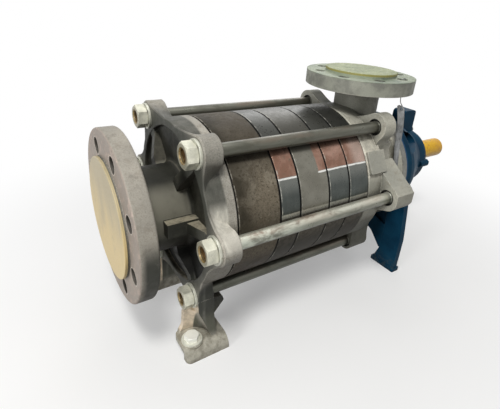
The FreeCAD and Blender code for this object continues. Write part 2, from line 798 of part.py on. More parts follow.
def discharge_plate(joint, next_joint, wall):
    """Stage plate with the side channel facing the star impeller and a hole out of its end."""
    plate = casing_blank(joint, next_joint, 10.0).fuse(spigot(joint, star_radius + 8.0))
    lip = bar(star_radius + 9.0, joint - spigot_depth - overshoot, joint)
    outlet = bar(outlet_port_radius, joint - overshoot, next_joint + overshoot, 0.0, channel_radius)
    cuts = [lip, side_channel(joint), shaft_passage(joint, next_joint), around_shaft(outlet, 16.0),
            o_ring_groove(joint), spigot_recess(next_joint, transfer_cavity_radius)]
    if next_joint - joint > wall:
        cuts.append(ring(transfer_cavity_radius, 34.0, joint + wall, next_joint + overshoot))
    return plate.cut(Part.makeCompound(cuts))


def star_impeller(start):
    """Star impeller: hub and straight radial vanes with open cells between them."""
    end = start + star_width
    hub = ring(star_hub_radius, shaft_wet_radius + seat_clearance, start, end)
    half = star_vane_thickness / 2.0
    vane = block(start, end, -half, half, star_hub_radius - 3.0, star_radius)
    wheel = fused([hub] + repeated(vane, star_vane_count))
    envelope = bar(star_radius, start, end)
    wheel = wheel.common(envelope)
    balance = bar(5.0, start - overshoot, end + overshoot, 0.0, 34.0)
    cuts = [key_slot(start - overshoot, end + overshoot)] + repeated(balance, 4, 45.0)
    return wheel.cut(Part.makeCompound(cuts))


# Discharge casing

def discharge_star():
    """Lugged wall of the discharge casing, thinner at the upper lugs.

    The lugs beside the shaft are clipped diamonds.
    """
    front = discharge_wall_front
    middle = front + upper_lug_thickness
    back = discharge_wall_back
    reach = max(tie_distances) + 2.0 * lug_radius
    upper = star_wall(front, middle, discharge_waist_radius, lower_lug_radius)
    lower = star_wall(middle - overshoot, back, discharge_waist_radius, lower_lug_radius)
    lower = lower.common(block(front, back, -reach, reach, -reach, upper_lug_cut_height))
    root = -discharge_waist_radius + 6.0
    diamond = slab_across([
        (root, mid_lug_root_top, 0.0), (-mid_lug_reach, mid_lug_top, 2.0),
        (-mid_lug_reach, -mid_lug_bottom, 2.0), (root, -mid_lug_root_bottom, 0.0)], front, back)
    wall = upper.fuse([lower, bar(discharge_waist_radius, front, back), diamond, mirrored(diamond)])
    limits = block(front, back, -mid_lug_reach, mid_lug_reach, -reach, reach)
    return wall.common(limits).removeSplitter()


def boss_pad():
    """Square unmachined pad on the casing, where a side connection may be bored."""
    half = boss_pad_size / 2.0
    start = joint_6 + boss_pad_from_joint
    pad = slab_flat([
        (start, -half, 2.0), (start + boss_pad_size, -half, 2.0),
        (start + boss_pad_size, half, 2.0), (start, half, 2.0)], casing_radius - 12.0, boss_pad_level)
    return around_shaft(pad, boss_pad_angle)


def nozzle_outside():
    """Upright neck, its round bend into the casing, and the discharge flange."""
    flange_low = discharge_height - discharge_flange_thickness
    neck = post(nozzle_neck_radius, discharge_centre, 0.0, nozzle_bend_height, flange_low + overshoot)
    bend = Part.makeSphere(nozzle_neck_radius, Vector(discharge_centre, 0.0, nozzle_bend_height))
    lower = Part.makeCylinder(nozzle_neck_radius, 70.0, Vector(discharge_centre, 0.0, nozzle_bend_height),
                              Vector(-0.5, 0.0, -1.0))
    flange = post(discharge_flange_radius, discharge_centre, 0.0, flange_low, discharge_height)
    face = post(discharge_face_radius, discharge_centre, 0.0, flange_low,
                discharge_height + raised_face_height)
    return [neck, bend, lower, flange, face]


def nozzle_inside():
    """Passage from the casing's cavity up to the discharge flange."""
    bend_place = Vector(discharge_centre, 0.0, nozzle_bend_height)
    return [post(discharge_bore_radius, discharge_centre, 0.0, nozzle_bend_height,
                 discharge_height + raised_face_height + overshoot),
            Part.makeSphere(discharge_bore_radius, bend_place),
            Part.makeCylinder(discharge_bore_radius - 3.0, 62.0, bend_place, Vector(-0.62, 0.0, -1.0))]


def discharge_flange_holes():
    """Bolt holes of the discharge flange."""
    hole = post(discharge_hole_radius, discharge_centre + discharge_hole_circle_radius, 0.0,
                discharge_height - discharge_flange_thickness - overshoot, discharge_height + overshoot)
    holes = []
    for index in range(discharge_hole_count):
        copy = hole.copy()
        turn = 360.0 / discharge_hole_count * (index + 0.5)
        copy.rotate(Vector(discharge_centre, 0.0, 0.0), z_axis, turn)
        holes.append(copy)
    return holes


def discharge_casing():
    rear_flange_front = discharge_back - discharge_rear_flange_thickness
    body = turned([
        (joint_6, 20.0, 0.0), (joint_6, casing_radius - joint_chamfer, 0.0),
        (joint_6 + joint_chamfer, casing_radius, 0.0), (discharge_wall_front + 6.0, casing_radius, 0.0),
        (discharge_wall_front + 6.0, discharge_rear_neck_radius, 0.0),
        (rear_flange_front, discharge_rear_neck_radius, 5.0),
        (rear_flange_front, discharge_rear_flange_radius, 3.0),
        (discharge_back, discharge_rear_flange_radius, 1.5), (discharge_back, 20.0, 0.0)])
    pieces = [body, discharge_star(), boss_pad(), spigot(joint_6, transfer_cavity_radius)]
    casing = fused(pieces + nozzle_outside())
    wall_front = discharge_back - seal_chamber_wall
    cavity = turned([
        (joint_6 - spigot_depth - overshoot, 0.0, 0.0),
        (joint_6 - spigot_depth - overshoot, transfer_cavity_radius, 0.0),
        (joint_6 + 10.0, transfer_cavity_radius, 0.0), (joint_6 + 14.0, discharge_cavity_radius, 0.0),
        (discharge_wall_back - 14.0, discharge_cavity_radius, 12.0),
        (discharge_wall_back - 10.0, discharge_rear_neck_radius - 12.0, 0.0),
        (wall_front, discharge_rear_neck_radius - 12.0, 8.0), (wall_front, 0.0, 0.0)])
    bore = bar(seal_bore_radius, wall_front - overshoot, discharge_back + overshoot)
    rod_seat = bar(tie_rod_radius + thread_clearance, discharge_wall_front - overshoot,
                   discharge_wall_front + tie_rod_thread_grip + overshoot)
    rod_mouth = bar(tie_rod_radius + 2.8, discharge_wall_front - overshoot, discharge_wall_front + 5.0)
    screw = bar(bracket_screw_radius + thread_clearance, discharge_back - bracket_screw_grip - overshoot,
                discharge_back + overshoot, 0.0, bracket_screw_circle_radius)
    cuts = [cavity, bore, o_ring_groove(joint_6)] + nozzle_inside() + discharge_flange_holes()
    cuts = cuts + at_each_tie_rod(rod_seat) + at_each_tie_rod(rod_mouth)
    cuts = cuts + repeated(screw, bracket_screw_count, 30.0)
    for cut in cuts:
        casing = casing.cut(cut)
    return casing


def casing_o_rings():
    """Sealing rings of all casing joints."""
    gap = running_clearance
    inner = o_ring_radius - o_ring_width
    rings = []
    for joint in (joint_1, joint_2, joint_3, joint_4, joint_5, joint_6):
        rings.append(ring(o_ring_radius - gap, inner + gap, joint, joint + o_ring_depth - gap))
    return Part.makeCompound(rings)


# Tie rods, nuts and washers

def nut_front():
    """Front face of the tie rod nuts."""
    return suction_lug_front - washer_thickness - nut_height


def tie_rods():
    """Studs with a slimmer shank between their threads; the front ends lie inside the nuts."""
    front = nut_front() + tie_rod_recess
    thread_end = suction_lug_front + suction_lug_thickness / 2.0
    back = discharge_wall_front + tie_rod_thread_grip
    step = tie_rod_radius - tie_rod_shank_radius
    rod = turned([
        (front, 0.0, 0.0), (front, tie_rod_radius - 1.5, 0.0), (front + 1.5, tie_rod_radius, 0.0),
        (thread_end, tie_rod_radius, 0.0), (thread_end + step, tie_rod_shank_radius, 0.0),
        (discharge_wall_front + 1.0, tie_rod_shank_radius, 0.0),
        (discharge_wall_front + 1.0 + step, tie_rod_radius, 0.0),
        (back, tie_rod_radius, 0.0), (back, 0.0, 0.0)])
    return Part.makeCompound(at_each_tie_rod(rod))


def tie_rod_nuts():
    """Nuts with both rims bevelled; ahead of each stud the crests of the nut's thread stand free."""
    front = nut_front()
    back = front + nut_height
    crest_end = front + tie_rod_recess - 0.15
    nut = hexagon(nut_flats, front, back, nut_flats / 2.0 - 0.4)
    turned_over = nut.copy()
    turned_over.rotate(Vector((front + back) / 2.0, 0.0, 0.0), z_axis, 180.0)
    hole = turned([
        (front - overshoot, 0.0, 0.0), (front - overshoot, tie_rod_radius + overshoot, 0.0),
        (front, tie_rod_radius + 0.4, 0.0), (front + 1.7, thread_crest_radius, 0.0),
        (crest_end, thread_crest_radius, 0.0), (crest_end, tie_rod_radius + thread_clearance, 0.0),
        (back + overshoot, tie_rod_radius + thread_clearance, 0.0), (back + overshoot, 0.0, 0.0)])
    nut = nut.common(turned_over).cut(hole)
    turns = (12.0, 20.0, 4.0, 31.0, 16.0, 25.0)
    nuts = []
    for turn, place in zip(turns, tie_places()):
        nuts.append(moved(around_shaft(nut, turn), 0.0, place[0], place[1]))
    return Part.makeCompound(nuts)


def tie_rod_washers():
    front = suction_lug_front - washer_thickness
    washer = ring(washer_radius, tie_rod_radius + 0.5, front, suction_lug_front)
    return Part.makeCompound(at_each_tie_rod(washer))


# Shaft seal

def seal_housing():
    """Seal cover between casing and bracket, with its spigot, seal chamber and end wall."""
    spigot_front = discharge_back - seal_chamber_wall
    tube_end = bracket_front + seal_tube_length
    body = turned([
        (spigot_front, seal_chamber_radius, 0.0), (spigot_front, seal_bore_radius - running_clearance, 1.0),
        (discharge_back, seal_bore_radius - running_clearance, 0.0),
        (discharge_back, discharge_rear_flange_radius, 1.5),
        (bracket_front, discharge_rear_flange_radius, 1.5), (bracket_front, seal_tube_radius, 0.0),
        (tube_end, seal_tube_radius, 2.0), (tube_end, shaft_seal_radius + 2.0, 0.0),
        (tube_end - seal_tube_end_wall, shaft_seal_radius + 2.0, 0.0),
        (tube_end - seal_tube_end_wall, seal_seat_radius + seat_clearance, 0.0),
        (seat_front - 1.0, seal_seat_radius + seat_clearance, 0.0),
        (seat_front - 1.0, seal_chamber_radius, 0.0)])
    screw = bar(bracket_screw_radius + thread_clearance, discharge_back - overshoot,
                bracket_front + overshoot, 0.0, bracket_screw_circle_radius)
    return body.cut(Part.makeCompound(repeated(screw, bracket_screw_count, 30.0)))


def seal_stationary_ring():
    return ring(seal_seat_radius, shaft_seal_radius + 2.0, seat_front, seat_front + seal_seat_thickness)


def seal_rotating_ring():
    inner = shaft_seal_radius + seat_clearance
    return turned([
        (rotating_ring_front, inner, 0.0), (rotating_ring_front, seal_collar_radius, 1.0),
        (rotating_ring_back - 3.0, seal_collar_radius, 0.0),
        (rotating_ring_back - 3.0, seal_face_radius, 0.0),
        (rotating_ring_back, seal_face_radius, 0.0), (rotating_ring_back, inner, 0.0)])


def seal_bellows():
    """Folded rubber bellows that presses the rotating ring against its seat."""
    inner = shaft_seal_radius + seat_clearance
    folds = 4
    pitch = seal_bellows_length / folds
    outer_points = []
    for index in range(folds):
        start = bellows_front + pitch * index
        outer_points.append((start, seal_bellows_root_radius, 0.0))
        outer_points.append((start + pitch / 2.0, seal_bellows_radius, 0.7))
    end = bellows_front + seal_bellows_length
    outer_points.append((end, seal_bellows_root_radius, 0.0))
    return turned([(bellows_front, inner, 0.0)] + outer_points + [(end, inner, 0.0)])


def seal_drive_collar():
    """Collar on the shaft that drives and backs the bellows."""
    inner = shaft_seal_radius + seat_clearance
    return turned([
        (collar_front, inner, 0.0), (collar_front, seal_collar_radius, 2.0),
        (bellows_front, seal_collar_radius, 1.0),
        (bellows_front, inner, 0.0)])


# Bearing bracket

def bracket_shell():
    """Flange, bell-shaped lantern and bearing housing as one turned shape."""
    middle = bracket_flange_back + lantern_middle_from_flange
    inner_large = lantern_large_radius - lantern_wall
    inner_middle = lantern_middle_radius - lantern_wall
    tube_fit = seal_tube_radius + running_clearance
    bearing_seat = bearing_outer_radius + seat_clearance
    shaft_room = shaft_collar_radius + 4.0
    return turned([
        (bracket_front, tube_fit, 0.0), (bracket_front, bracket_flange_radius, 1.5),
        (bracket_flange_back, bracket_flange_radius, 1.0), (bracket_flange_back, lantern_large_radius, 0.0),
        (bracket_flange_back + 14.0, lantern_large_radius - 3.0, 12.0),
        (middle, lantern_middle_radius, 40.0), (housing_front, lantern_small_radius, 20.0),
        (housing_front + 14.0, bearing_housing_radius + 1.0, 10.0),
        (housing_back, bearing_housing_radius, 1.5), (housing_back, bearing_seat, 0.0),
        (bearing_front, bearing_seat, 0.0), (bearing_front, shaft_room, 0.0),
        (bearing_front - 9.0, shaft_room, 0.0), (bearing_front - 9.0, bearing_outer_radius - 4.0, 4.0),
        (middle, inner_middle, 20.0), (bracket_flange_back + 4.0, inner_large, 4.0),
        (bracket_flange_back - 2.0, inner_large, 0.0), (bracket_flange_back - 2.0, tube_fit, 0.0)])


def lantern_openings():
    """Window in each upper quarter of the lantern and a drain slot in its bottom."""
    start = bracket_flange_back + window_start
    end = start + window_length
    window = slab_beside([
        (start, window_bottom, 5.0), (start, window_top_front, 5.0), (end, window_top_back, 7.0),
        (end, window_bottom, 7.0)], -bracket_flange_radius - 10.0, -16.0)
    slot_start = start + 6.0
    slot_end = slot_start + drain_slot_length
    half = drain_slot_half_width
    slot = slab_flat([
        (slot_start, -half, 8.0), (slot_end, -half, 8.0), (slot_end, half, 8.0), (slot_start, half, 8.0)],
        -lantern_large_radius - 10.0, -lantern_middle_radius + 30.0)
    return [window, mirrored(window), slot]


def bracket_foot_place():
    """Place (x, y) of the tapped hole in the -Y sole."""
    return bracket_front + bracket_foot_hole_setback, -(bracket_leg_outer + bracket_leg_inner) / 2.0


def bracket_leg():
    """Leg on the -Y side: plate from the flange rim down to the toe, and a rib behind it."""
    start = bracket_front + bracket_leg_setback
    end = start + bracket_leg_thickness
    sole = -shaft_height
    outer = bracket_leg_outer
    inner = bracket_leg_inner
    leg = slab_across([
        (-inner - 8.0, -40.0, 0.0), (-outer + 15.0, -14.0, 0.0), (-outer + 9.0, -56.0, 60.0),
        (-outer, -126.0, 60.0), (-outer, sole, 2.0), (-inner, sole, 2.0),
        (-inner - 12.0, sole + 34.0, 16.0), (-inner - 13.0, -110.0, 20.0)], start, end)
    toe = slab_flat([
        (start - 2.0, -inner + 2.0, 3.0), (start - 2.0, -outer - 2.0, 3.0),
        (start - 2.0 + bracket_toe_length, -outer - 2.0, 3.0),
        (start - 2.0 + bracket_toe_length, -inner + 2.0, 3.0)], sole, sole + bracket_toe_height)
    foot_x, foot_y = bracket_foot_place()
    boss = post(bracket_foot_boss_radius, foot_x, foot_y, sole, sole + bracket_foot_boss_height)
    rib = slab_beside([
        (end - overshoot, -44.0, 0.0), (end + bracket_rib_length, -84.0, 20.0),
        (end + bracket_rib_length * 0.6, -140.0, 30.0),
        (foot_x, sole + bracket_foot_boss_height + 6.0, 0.0), (foot_x, sole + 1.0, 0.0),
        (end - overshoot, sole + 1.0, 0.0)],
        foot_y - bracket_rib_thickness / 2.0, foot_y + bracket_rib_thickness / 2.0)
    return [leg, toe, boss, rib]


def bracket_cross_web():
    """Arched web between the two legs, with a three-cornered recess on each side."""
    start = bracket_front + bracket_leg_setback + 2.0
    end = start + bracket_web_thickness
    side = bracket_web_reach
    web = slab_across([
        (-side, -60.0, 0.0), (-side, -166.0, 0.0), (-66.0, -166.0, 0.0), (-36.0, -136.0, 24.0),
        (36.0, -136.0, 24.0), (66.0, -166.0, 0.0), (side, -166.0, 0.0), (side, -60.0, 0.0)],
        start, end)
    recess = slab_across([
        (-70.0, -86.0, 4.0), (-70.0, -114.0, 4.0), (-28.0, -100.0, 6.0), (-28.0, -90.0, 6.0)],
        start - overshoot, end - bracket_web_recess_wall)
    return [web.cut(Part.makeCompound([recess, mirrored(recess)]))]


def bearing_bracket():
    shell = bracket_shell()
    ear_end = housing_back - 6.0
    ear_start = ear_end - bracket_ear_length
    half = bracket_ear_width / 2.0
    ear = slab_beside([
        (ear_start, 50.0, 0.0), (ear_start + 2.0, bracket_ear_top, 7.0),
        (ear_end, bracket_ear_top, 7.0), (ear_end, 50.0, 0.0)], -half, half)
    ear = ear.cut(bar(52.0, bracket_front, housing_back + overshoot))
    legs = bracket_leg()
    start = bracket_front + bracket_leg_setback
    inside = bar(lantern_large_radius - lantern_wall, start - overshoot, housing_front)
    supports = legs + [mirrored(piece) for piece in legs] + bracket_cross_web()
    supports = [piece.cut(inside) for piece in supports]
    shell = shell.cut(Part.makeCompound(lantern_openings()))
    screw_ear = bar(bearing_cover_ear_radius, housing_back - bearing_cover_screw_depth - 2.0, housing_back,
                    0.0, bearing_cover_screw_circle_radius)
    screw_ear = screw_ear.cut(bar(bearing_outer_radius + seat_clearance, housing_front, housing_back))
    bracket = fused([shell, ear] + supports + repeated(screw_ear, bearing_cover_screw_count))
    hole = bar(bracket_screw_radius + 0.5, bracket_front - overshoot, bracket_flange_back + overshoot,
               0.0, bracket_screw_circle_radius)
    foot_x, foot_y = bracket_foot_place()
    tapped = post(bracket_foot_hole_radius, foot_x, foot_y, -shaft_height - overshoot,
                  -shaft_height + bracket_foot_hole_depth)
    cover_screw = bar(bearing_cover_screw_radius + thread_clearance,
                      housing_back - bearing_cover_screw_depth - overshoot,
                      housing_back + overshoot, 0.0, bearing_cover_screw_circle_radius)
    cuts = repeated(hole, bracket_screw_count, 30.0) + [tapped, mirrored(tapped)]
    cuts = cuts + repeated(cover_screw, bearing_cover_screw_count)
    return bracket.cut(Part.makeCompound(cuts))


def bracket_screws():
    """Hexagon screws that clamp bracket and seal cover to the discharge casing."""
    head = bracket_flange_back - 2.0
    tip = discharge_back - bracket_screw_grip
    screw = fused([bar(bracket_screw_radius, tip, head + 2.0),
                   hexagon(19.0, head, head + 7.5, 9.2)])
    screw = moved(screw, 0.0, 0.0, bracket_screw_circle_radius)
    return Part.makeCompound(repeated(screw, bracket_screw_count, 30.0))


# Rolling bearing

def race_groove():
    """Ring-shaped track of the balls, with running clearance."""
    middle = (bearing_front + bearing_back) / 2.0
    return Part.makeTorus(bearing_pitch_radius, ball_radius + running_clearance,
                          Vector(middle, 0.0, 0.0), x_axis)


def bearing_outer_ring():
    inner = bearing_outer_radius - race_thickness
    return ring(bearing_outer_radius, inner, bearing_front, bearing_back).cut(race_groove())


def bearing_inner_ring():
    outer = bearing_bore_radius + race_thickness
    inner = bearing_bore_radius + seat_clearance
    return ring(outer, inner, bearing_front, bearing_back).cut(race_groove())


def bearing_balls():
    middle = (bearing_front + bearing_back) / 2.0
    ball = Part.makeSphere(ball_radius, Vector(middle, 0.0, bearing_pitch_radius))
    return Part.makeCompound(repeated(ball, ball_count))


def bearing_cage():
    """Ring that keeps the balls apart."""
    middle = (bearing_front + bearing_back) / 2.0
    half = cage_thickness / 2.0
    cage = ring(bearing_pitch_radius + half, bearing_pitch_radius - half,
                middle - cage_front_length, middle + cage_back_length)
    pocket = Part.makeSphere(ball_radius + running_clearance, Vector(middle, 0.0, bearing_pitch_radius))
    return cage.cut(Part.makeCompound(repeated(pocket, ball_count)))


def bearing_lock_nut():
    inner = bearing_bore_radius + seat_clearance
    nut = ring(lock_nut_radius, inner, bearing_back, bearing_back + 7.0)
    slot = block(bearing_back - overshoot, bearing_back + 8.0, -3.0, 3.0, lock_nut_radius - 3.0, 40.0)
    return nut.cut(Part.makeCompound(repeated(slot, 4)))


def bearing_cover():
    """End cover with a spigot that holds the outer ring, four screw ears and the lip seal's seat."""
    end = housing_back + bearing_cover_thickness
    ear_end = housing_back + bearing_cover_ear_thickness
    spigot_radius_here = bearing_outer_radius - running_clearance
    seal_seat = lip_seal_radius + seat_clearance
    body = turned([
        (bearing_back, 43.0, 0.0), (bearing_back, spigot_radius_here, 0.0),
        (housing_back, spigot_radius_here, 0.0), (housing_back, bearing_cover_radius, 0.0),
        (end, bearing_cover_radius - 1.0, 3.0), (end, seal_seat, 0.0),
        (housing_back + 2.0, seal_seat, 0.0), (housing_back + 2.0, 43.0, 0.0)])
    ear = bar(bearing_cover_ear_radius, housing_back, ear_end, 0.0, bearing_cover_screw_circle_radius)
    cover = fused([body] + repeated(ear, bearing_cover_screw_count))
    hole = bar(bearing_cover_screw_radius + 0.3, housing_back - overshoot, end + overshoot,
               0.0, bearing_cover_screw_circle_radius)
    seat = bar(bearing_cover_ear_radius, ear_end, end + overshoot, 0.0, bearing_cover_screw_circle_radius)
    cuts = repeated(hole.fuse(seat), bearing_cover_screw_count)
    return cover.cut(Part.makeCompound(cuts))


def shaft_lip_seal():
    end = housing_back + bearing_cover_thickness
    start = end - 8.0
    lip = shaft_lip_radius + running_clearance
    return turned([
        (start, shaft_lip_radius + 4.0, 0.0), (start, lip_seal_radius, 0.0),
        (end, lip_seal_radius, 0.0), (end, lip, 0.0), (end - 3.0, lip, 0.0)])


def shaft():
    """Stepped shaft with impeller keyways, bearing seats and the keyed drive end."""
    thread_end = inlet_impeller_front - 2.0
    body = turned([
        (shaft_tip, 0.0, 0.0), (shaft_tip, shaft_thread_radius - 1.5, 0.0),
        (shaft_tip + 1.5, shaft_thread_radius, 0.0), (thread_end, shaft_thread_radius, 0.0),
        (thread_end, shaft_wet_radius, 0.0), (shaft_seal_radius_start, shaft_wet_radius, 0.0),
        (shaft_seal_radius_start, shaft_seal_radius, 0.0),
        (bearing_front - shaft_collar_thickness, shaft_seal_radius, 0.0),
        (bearing_front - shaft_collar_thickness, shaft_collar_radius, 0.0),
        (bearing_front, shaft_collar_radius, 0.0), (bearing_front, bearing_bore_radius, 0.0),
        (housing_back, bearing_bore_radius, 0.0), (housing_back, shaft_lip_radius, 0.0),
        (drive_end_start, shaft_lip_radius, 0.0), (drive_end_start, drive_end_radius, 0.0),
        (shaft_end - drive_end_chamfer, drive_end_radius, 0.0),
        (shaft_end, drive_end_radius - drive_end_chamfer, 0.0), (shaft_end, 0.0, 0.0)])
    key_low = drive_end_radius - drive_key_depth
    half = drive_key_width / 2.0
    key_end = shaft_end - 8.0
    key_start = key_end - drive_key_length
    drive_keyway = slab_flat([
        (key_start, -half, half - 0.01), (key_end, -half, half - 0.01),
        (key_end, half, half - 0.01), (key_start, half, half - 0.01)], key_low, drive_end_radius + overshoot)
    drive_keyway = around_shaft(drive_keyway, 200.0)
    centre = Part.makeCone(0.0, 6.0, 8.0, Vector(shaft_end - 8.0, 0.0, 0.0), x_axis)
    cuts = [drive_keyway, centre]
    for start, end in key_spans():
        low = shaft_wet_radius - impeller_key_height / 2.0
        width = impeller_key_width / 2.0 + seat_clearance
        cuts.append(block(start, end, -width, width, low, shaft_wet_radius + overshoot))
    return body.cut(Part.makeCompound(cuts))


def key_spans():
    """Start and end of each impeller key along the shaft."""
    return ((inlet_impeller_front, inlet_impeller_back - 1.0),
            (star_1_start + 1.0, star_1_start + star_width - 1.0),
            (star_2_start + 1.0, star_2_start + star_width - 1.0))


def impeller_keys():
    half = impeller_key_width / 2.0
    low = shaft_wet_radius - impeller_key_height / 2.0 + seat_clearance
    keys = []
    for start, end in key_spans():
        keys.append(block(start + seat_clearance, end - seat_clearance, -half, half, low,
                          low + impeller_key_height - seat_clearance))
    return Part.makeCompound(keys)


def impeller_nut():
    """Domed nut that holds the impellers and sleeves on the shaft."""
    end = inlet_impeller_front - 2.0
    front = shaft_tip - 8.0
    grip = hexagon(34.0, end - 16.0, end, 17.2)
    dome = turned([
        (front, 0.0, 0.0), (front, 9.0, 5.0), (front + 14.0, 17.0, 8.0), (end - 4.0, 17.0, 0.0),
        (end - 4.0, 0.0, 0.0)])
    nut = fused([grip, dome])
    return nut.cut(bar(shaft_thread_radius + seat_clearance, shaft_tip - 0.5, end + overshoot))


def sleeve(start, end):
    return ring(sleeve_radius, shaft_wet_radius + seat_clearance, start, end)


def water_thrower():
    start = bracket_flange_back + thrower_setback
    hub_end = start + thrower_hub_length
    end = start + thrower_length
    inner = shaft_seal_radius + seat_clearance
    return turned([
        (start, inner, 0.0), (start, thrower_hub_radius, 0.0), (hub_end, thrower_hub_radius, 2.0),
        (end - 3.0, thrower_radius, 0.0), (end, thrower_radius, 0.0), (end, inner, 0.0)])


# Foot bolts and transport covers

def foot_washers():
    low = -shaft_height + foot_pad_thickness
    washer = post(foot_washer_radius, foot_bolt_x, -foot_bolt_y, low, low + foot_washer_thickness)
    washer = washer.cut(post(foot_bolt_radius + 0.5, foot_bolt_x, -foot_bolt_y, low - 1.0, low + 5.0))
    return Part.makeCompound([washer, mirrored(washer)])


def foot_bolts():
    seat = -shaft_height + foot_pad_thickness + foot_washer_thickness
    head = hexagon(foot_bolt_head_flats, 0.0, foot_bolt_head_height, foot_bolt_head_flats / 2.0 - 0.3)
    head.rotate(origin, Vector(0.0, 1.0, 0.0), 90.0)
    head.rotate(origin, z_axis, 14.0)
    head = moved(head, foot_bolt_x, -foot_bolt_y, seat + foot_bolt_head_height)
    shank = post(foot_bolt_radius, foot_bolt_x, -foot_bolt_y, -shaft_height + 1.0, seat + 1.0)
    bolt = fused([head, shank])
    return Part.makeCompound([bolt, mirrored(bolt)])


def cover_disc(plug_radius, radius):
    """Disc whose inner face lies in the plane x = 0, with a hollow plug along +X."""
    inside = plug_radius - cover_plug_wall
    return turned([
        (-cover_thickness, 0.0, 0.0), (-cover_thickness, radius, 1.0), (0.0, radius, 0.0),
        (0.0, plug_radius, 0.0), (cover_plug_depth, plug_radius - 0.6, 0.0),
        (cover_plug_depth, inside, 0.0), (0.0, inside, 0.0), (0.0, 0.0, 0.0)])


def suction_flange_cover():
    """Plastic disc with a hollow plug, pushed into the suction bore for transport."""
    outer = suction_bore_radius - 2.0 * running_clearance
    return moved(cover_disc(outer, suction_cover_radius), -raised_face_height)


def discharge_flange_cover():
    """Plastic disc with a hollow plug, pushed into the discharge bore for transport."""
    outer = discharge_bore_radius - 2.0 * running_clearance
    cover = cover_disc(outer, discharge_cover_radius)
    cover.rotate(origin, Vector(0.0, 1.0, 0.0), 90.0)
    return moved(cover, discharge_centre, 0.0, discharge_height + raised_face_height)


def bearing_cover_screws():
    head_seat = housing_back + bearing_cover_ear_thickness
    tip = housing_back - bearing_cover_screw_depth
    screw = fused([bar(bearing_cover_screw_radius, tip, head_seat + 2.0),
                   hexagon(10.0, head_seat, head_seat + 4.0, 4.8)])
    screw = moved(screw, 0.0, 0.0, bearing_cover_screw_circle_radius)
    return Part.makeCompound(repeated(screw, bearing_cover_screw_count))


pieces = {
    "suction_casing": suction_casing,
    "inlet_stage_casing": inlet_stage_casing,
    "guide_wheel": guide_wheel,
    "sleeve_bearing_bush": sleeve_bearing_bush,
    "stage_1_suction_plate": lambda: suction_plate(joint_2, joint_3),
    "stage_1_discharge_plate": lambda: discharge_plate(joint_3, joint_4, stage_1_wall_behind_channel),
    "stage_2_suction_plate": lambda: suction_plate(joint_4, joint_5),
    "stage_2_discharge_plate": lambda: discharge_plate(joint_5, joint_6, stage_2_discharge_length),
    "discharge_casing": discharge_casing,
    "casing_o_rings": casing_o_rings,
    "tie_rods": tie_rods,
    "tie_rod_nuts": tie_rod_nuts,
    "tie_rod_washers": tie_rod_washers,
    "seal_housing": seal_housing,
    "seal_stationary_ring": seal_stationary_ring,
    "seal_rotating_ring": seal_rotating_ring,
    "seal_bellows": seal_bellows,
    "seal_drive_collar": seal_drive_collar,
    "bearing_bracket": bearing_bracket,
    "bracket_screws": bracket_screws,
    "bearing_outer_ring": bearing_outer_ring,
    "bearing_inner_ring": bearing_inner_ring,
    "bearing_balls": bearing_balls,
    "bearing_cage": bearing_cage,
    "bearing_lock_nut": bearing_lock_nut,
    "bearing_cover": bearing_cover,
    "bearing_cover_screws": bearing_cover_screws,
    "shaft_lip_seal": shaft_lip_seal,
    "shaft": shaft,
    "impeller_keys": impeller_keys,
    "impeller_nut": impeller_nut,
    "inlet_impeller": inlet_impeller,
    "bearing_sleeve": lambda: sleeve(inlet_impeller_back, star_1_start),
    "stage_1_impeller": lambda: star_impeller(star_1_start),
    "stage_spacer_sleeve": lambda: sleeve(star_1_start + star_width, star_2_start),
    "stage_2_impeller": lambda: star_impeller(star_2_start),
    "seal_side_sleeve": lambda: sleeve(star_2_start + star_width, shaft_seal_radius_start),
    "water_thrower": water_thrower,
    "foot_washers": foot_washers,
    "foot_bolts": foot_bolts,
    "suction_flange_cover": suction_flange_cover,
    "discharge_flange_cover": discharge_flange_cover,
}

os.makedirs("parts", exist_ok=True)
for name, build in pieces.items():
    shape = build()
    shape.exportStep("parts/" + name + ".step")
    print(name, "solids", len(shape.Solids), "valid", shape.isValid(), "volume", round(shape.Volume))
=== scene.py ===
import json
import math

import bmesh
import bpy
from mathutils import Matrix, Vector


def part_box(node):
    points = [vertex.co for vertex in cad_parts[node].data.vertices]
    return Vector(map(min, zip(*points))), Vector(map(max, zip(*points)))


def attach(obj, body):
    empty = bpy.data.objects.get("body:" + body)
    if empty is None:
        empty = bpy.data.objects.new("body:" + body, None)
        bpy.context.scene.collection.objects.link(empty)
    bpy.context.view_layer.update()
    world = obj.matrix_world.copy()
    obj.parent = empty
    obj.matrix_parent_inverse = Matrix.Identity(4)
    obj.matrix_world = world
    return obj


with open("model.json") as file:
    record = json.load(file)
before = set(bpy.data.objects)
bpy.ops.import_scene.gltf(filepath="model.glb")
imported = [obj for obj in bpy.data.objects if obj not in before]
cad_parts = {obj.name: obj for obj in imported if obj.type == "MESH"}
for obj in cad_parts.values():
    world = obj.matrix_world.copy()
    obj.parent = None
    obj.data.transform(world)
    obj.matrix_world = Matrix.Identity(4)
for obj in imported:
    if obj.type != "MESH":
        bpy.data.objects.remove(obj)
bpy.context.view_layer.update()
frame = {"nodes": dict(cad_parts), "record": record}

nodes = frame["nodes"]
scene = bpy.context.scene


# Places in metres. The shaft runs along x from the suction face, y points to the far side, z up.
# How far each tie rod lies beside and above the shaft:
tie_places = ((0.0845, 0.1066), (0.1359, 0.0043), (0.0676, -0.1152))
rusty_thread_end = 0.0800

# Suction casing
flange_back = 0.0240
flange_hole_circle = 0.0950
flange_hole_radius = 0.0110
bare_face_from = 0.0815
neck_radius = 0.0605
# Span of the grease and painted shade behind the flange
grease_and_shade_span = (0.0245, 0.0925)
wall_front = 0.0800
wall_back = 0.1090
# Where the painted shadow rings round the tie rods lie along the shaft
suction_rod_shadow_span = (0.1000, 0.1095)
leg_front = 0.0825
foot_top = -0.1800

# Discharge casing
nozzle_x = 0.4275
nozzle_flange_low = 0.1530
nozzle_flange_top = 0.1750
boss_face = -0.1255
# Where the painted shadow rings round the tie rods lie along the shaft
discharge_rod_shadow_span = (0.3800, 0.4100)
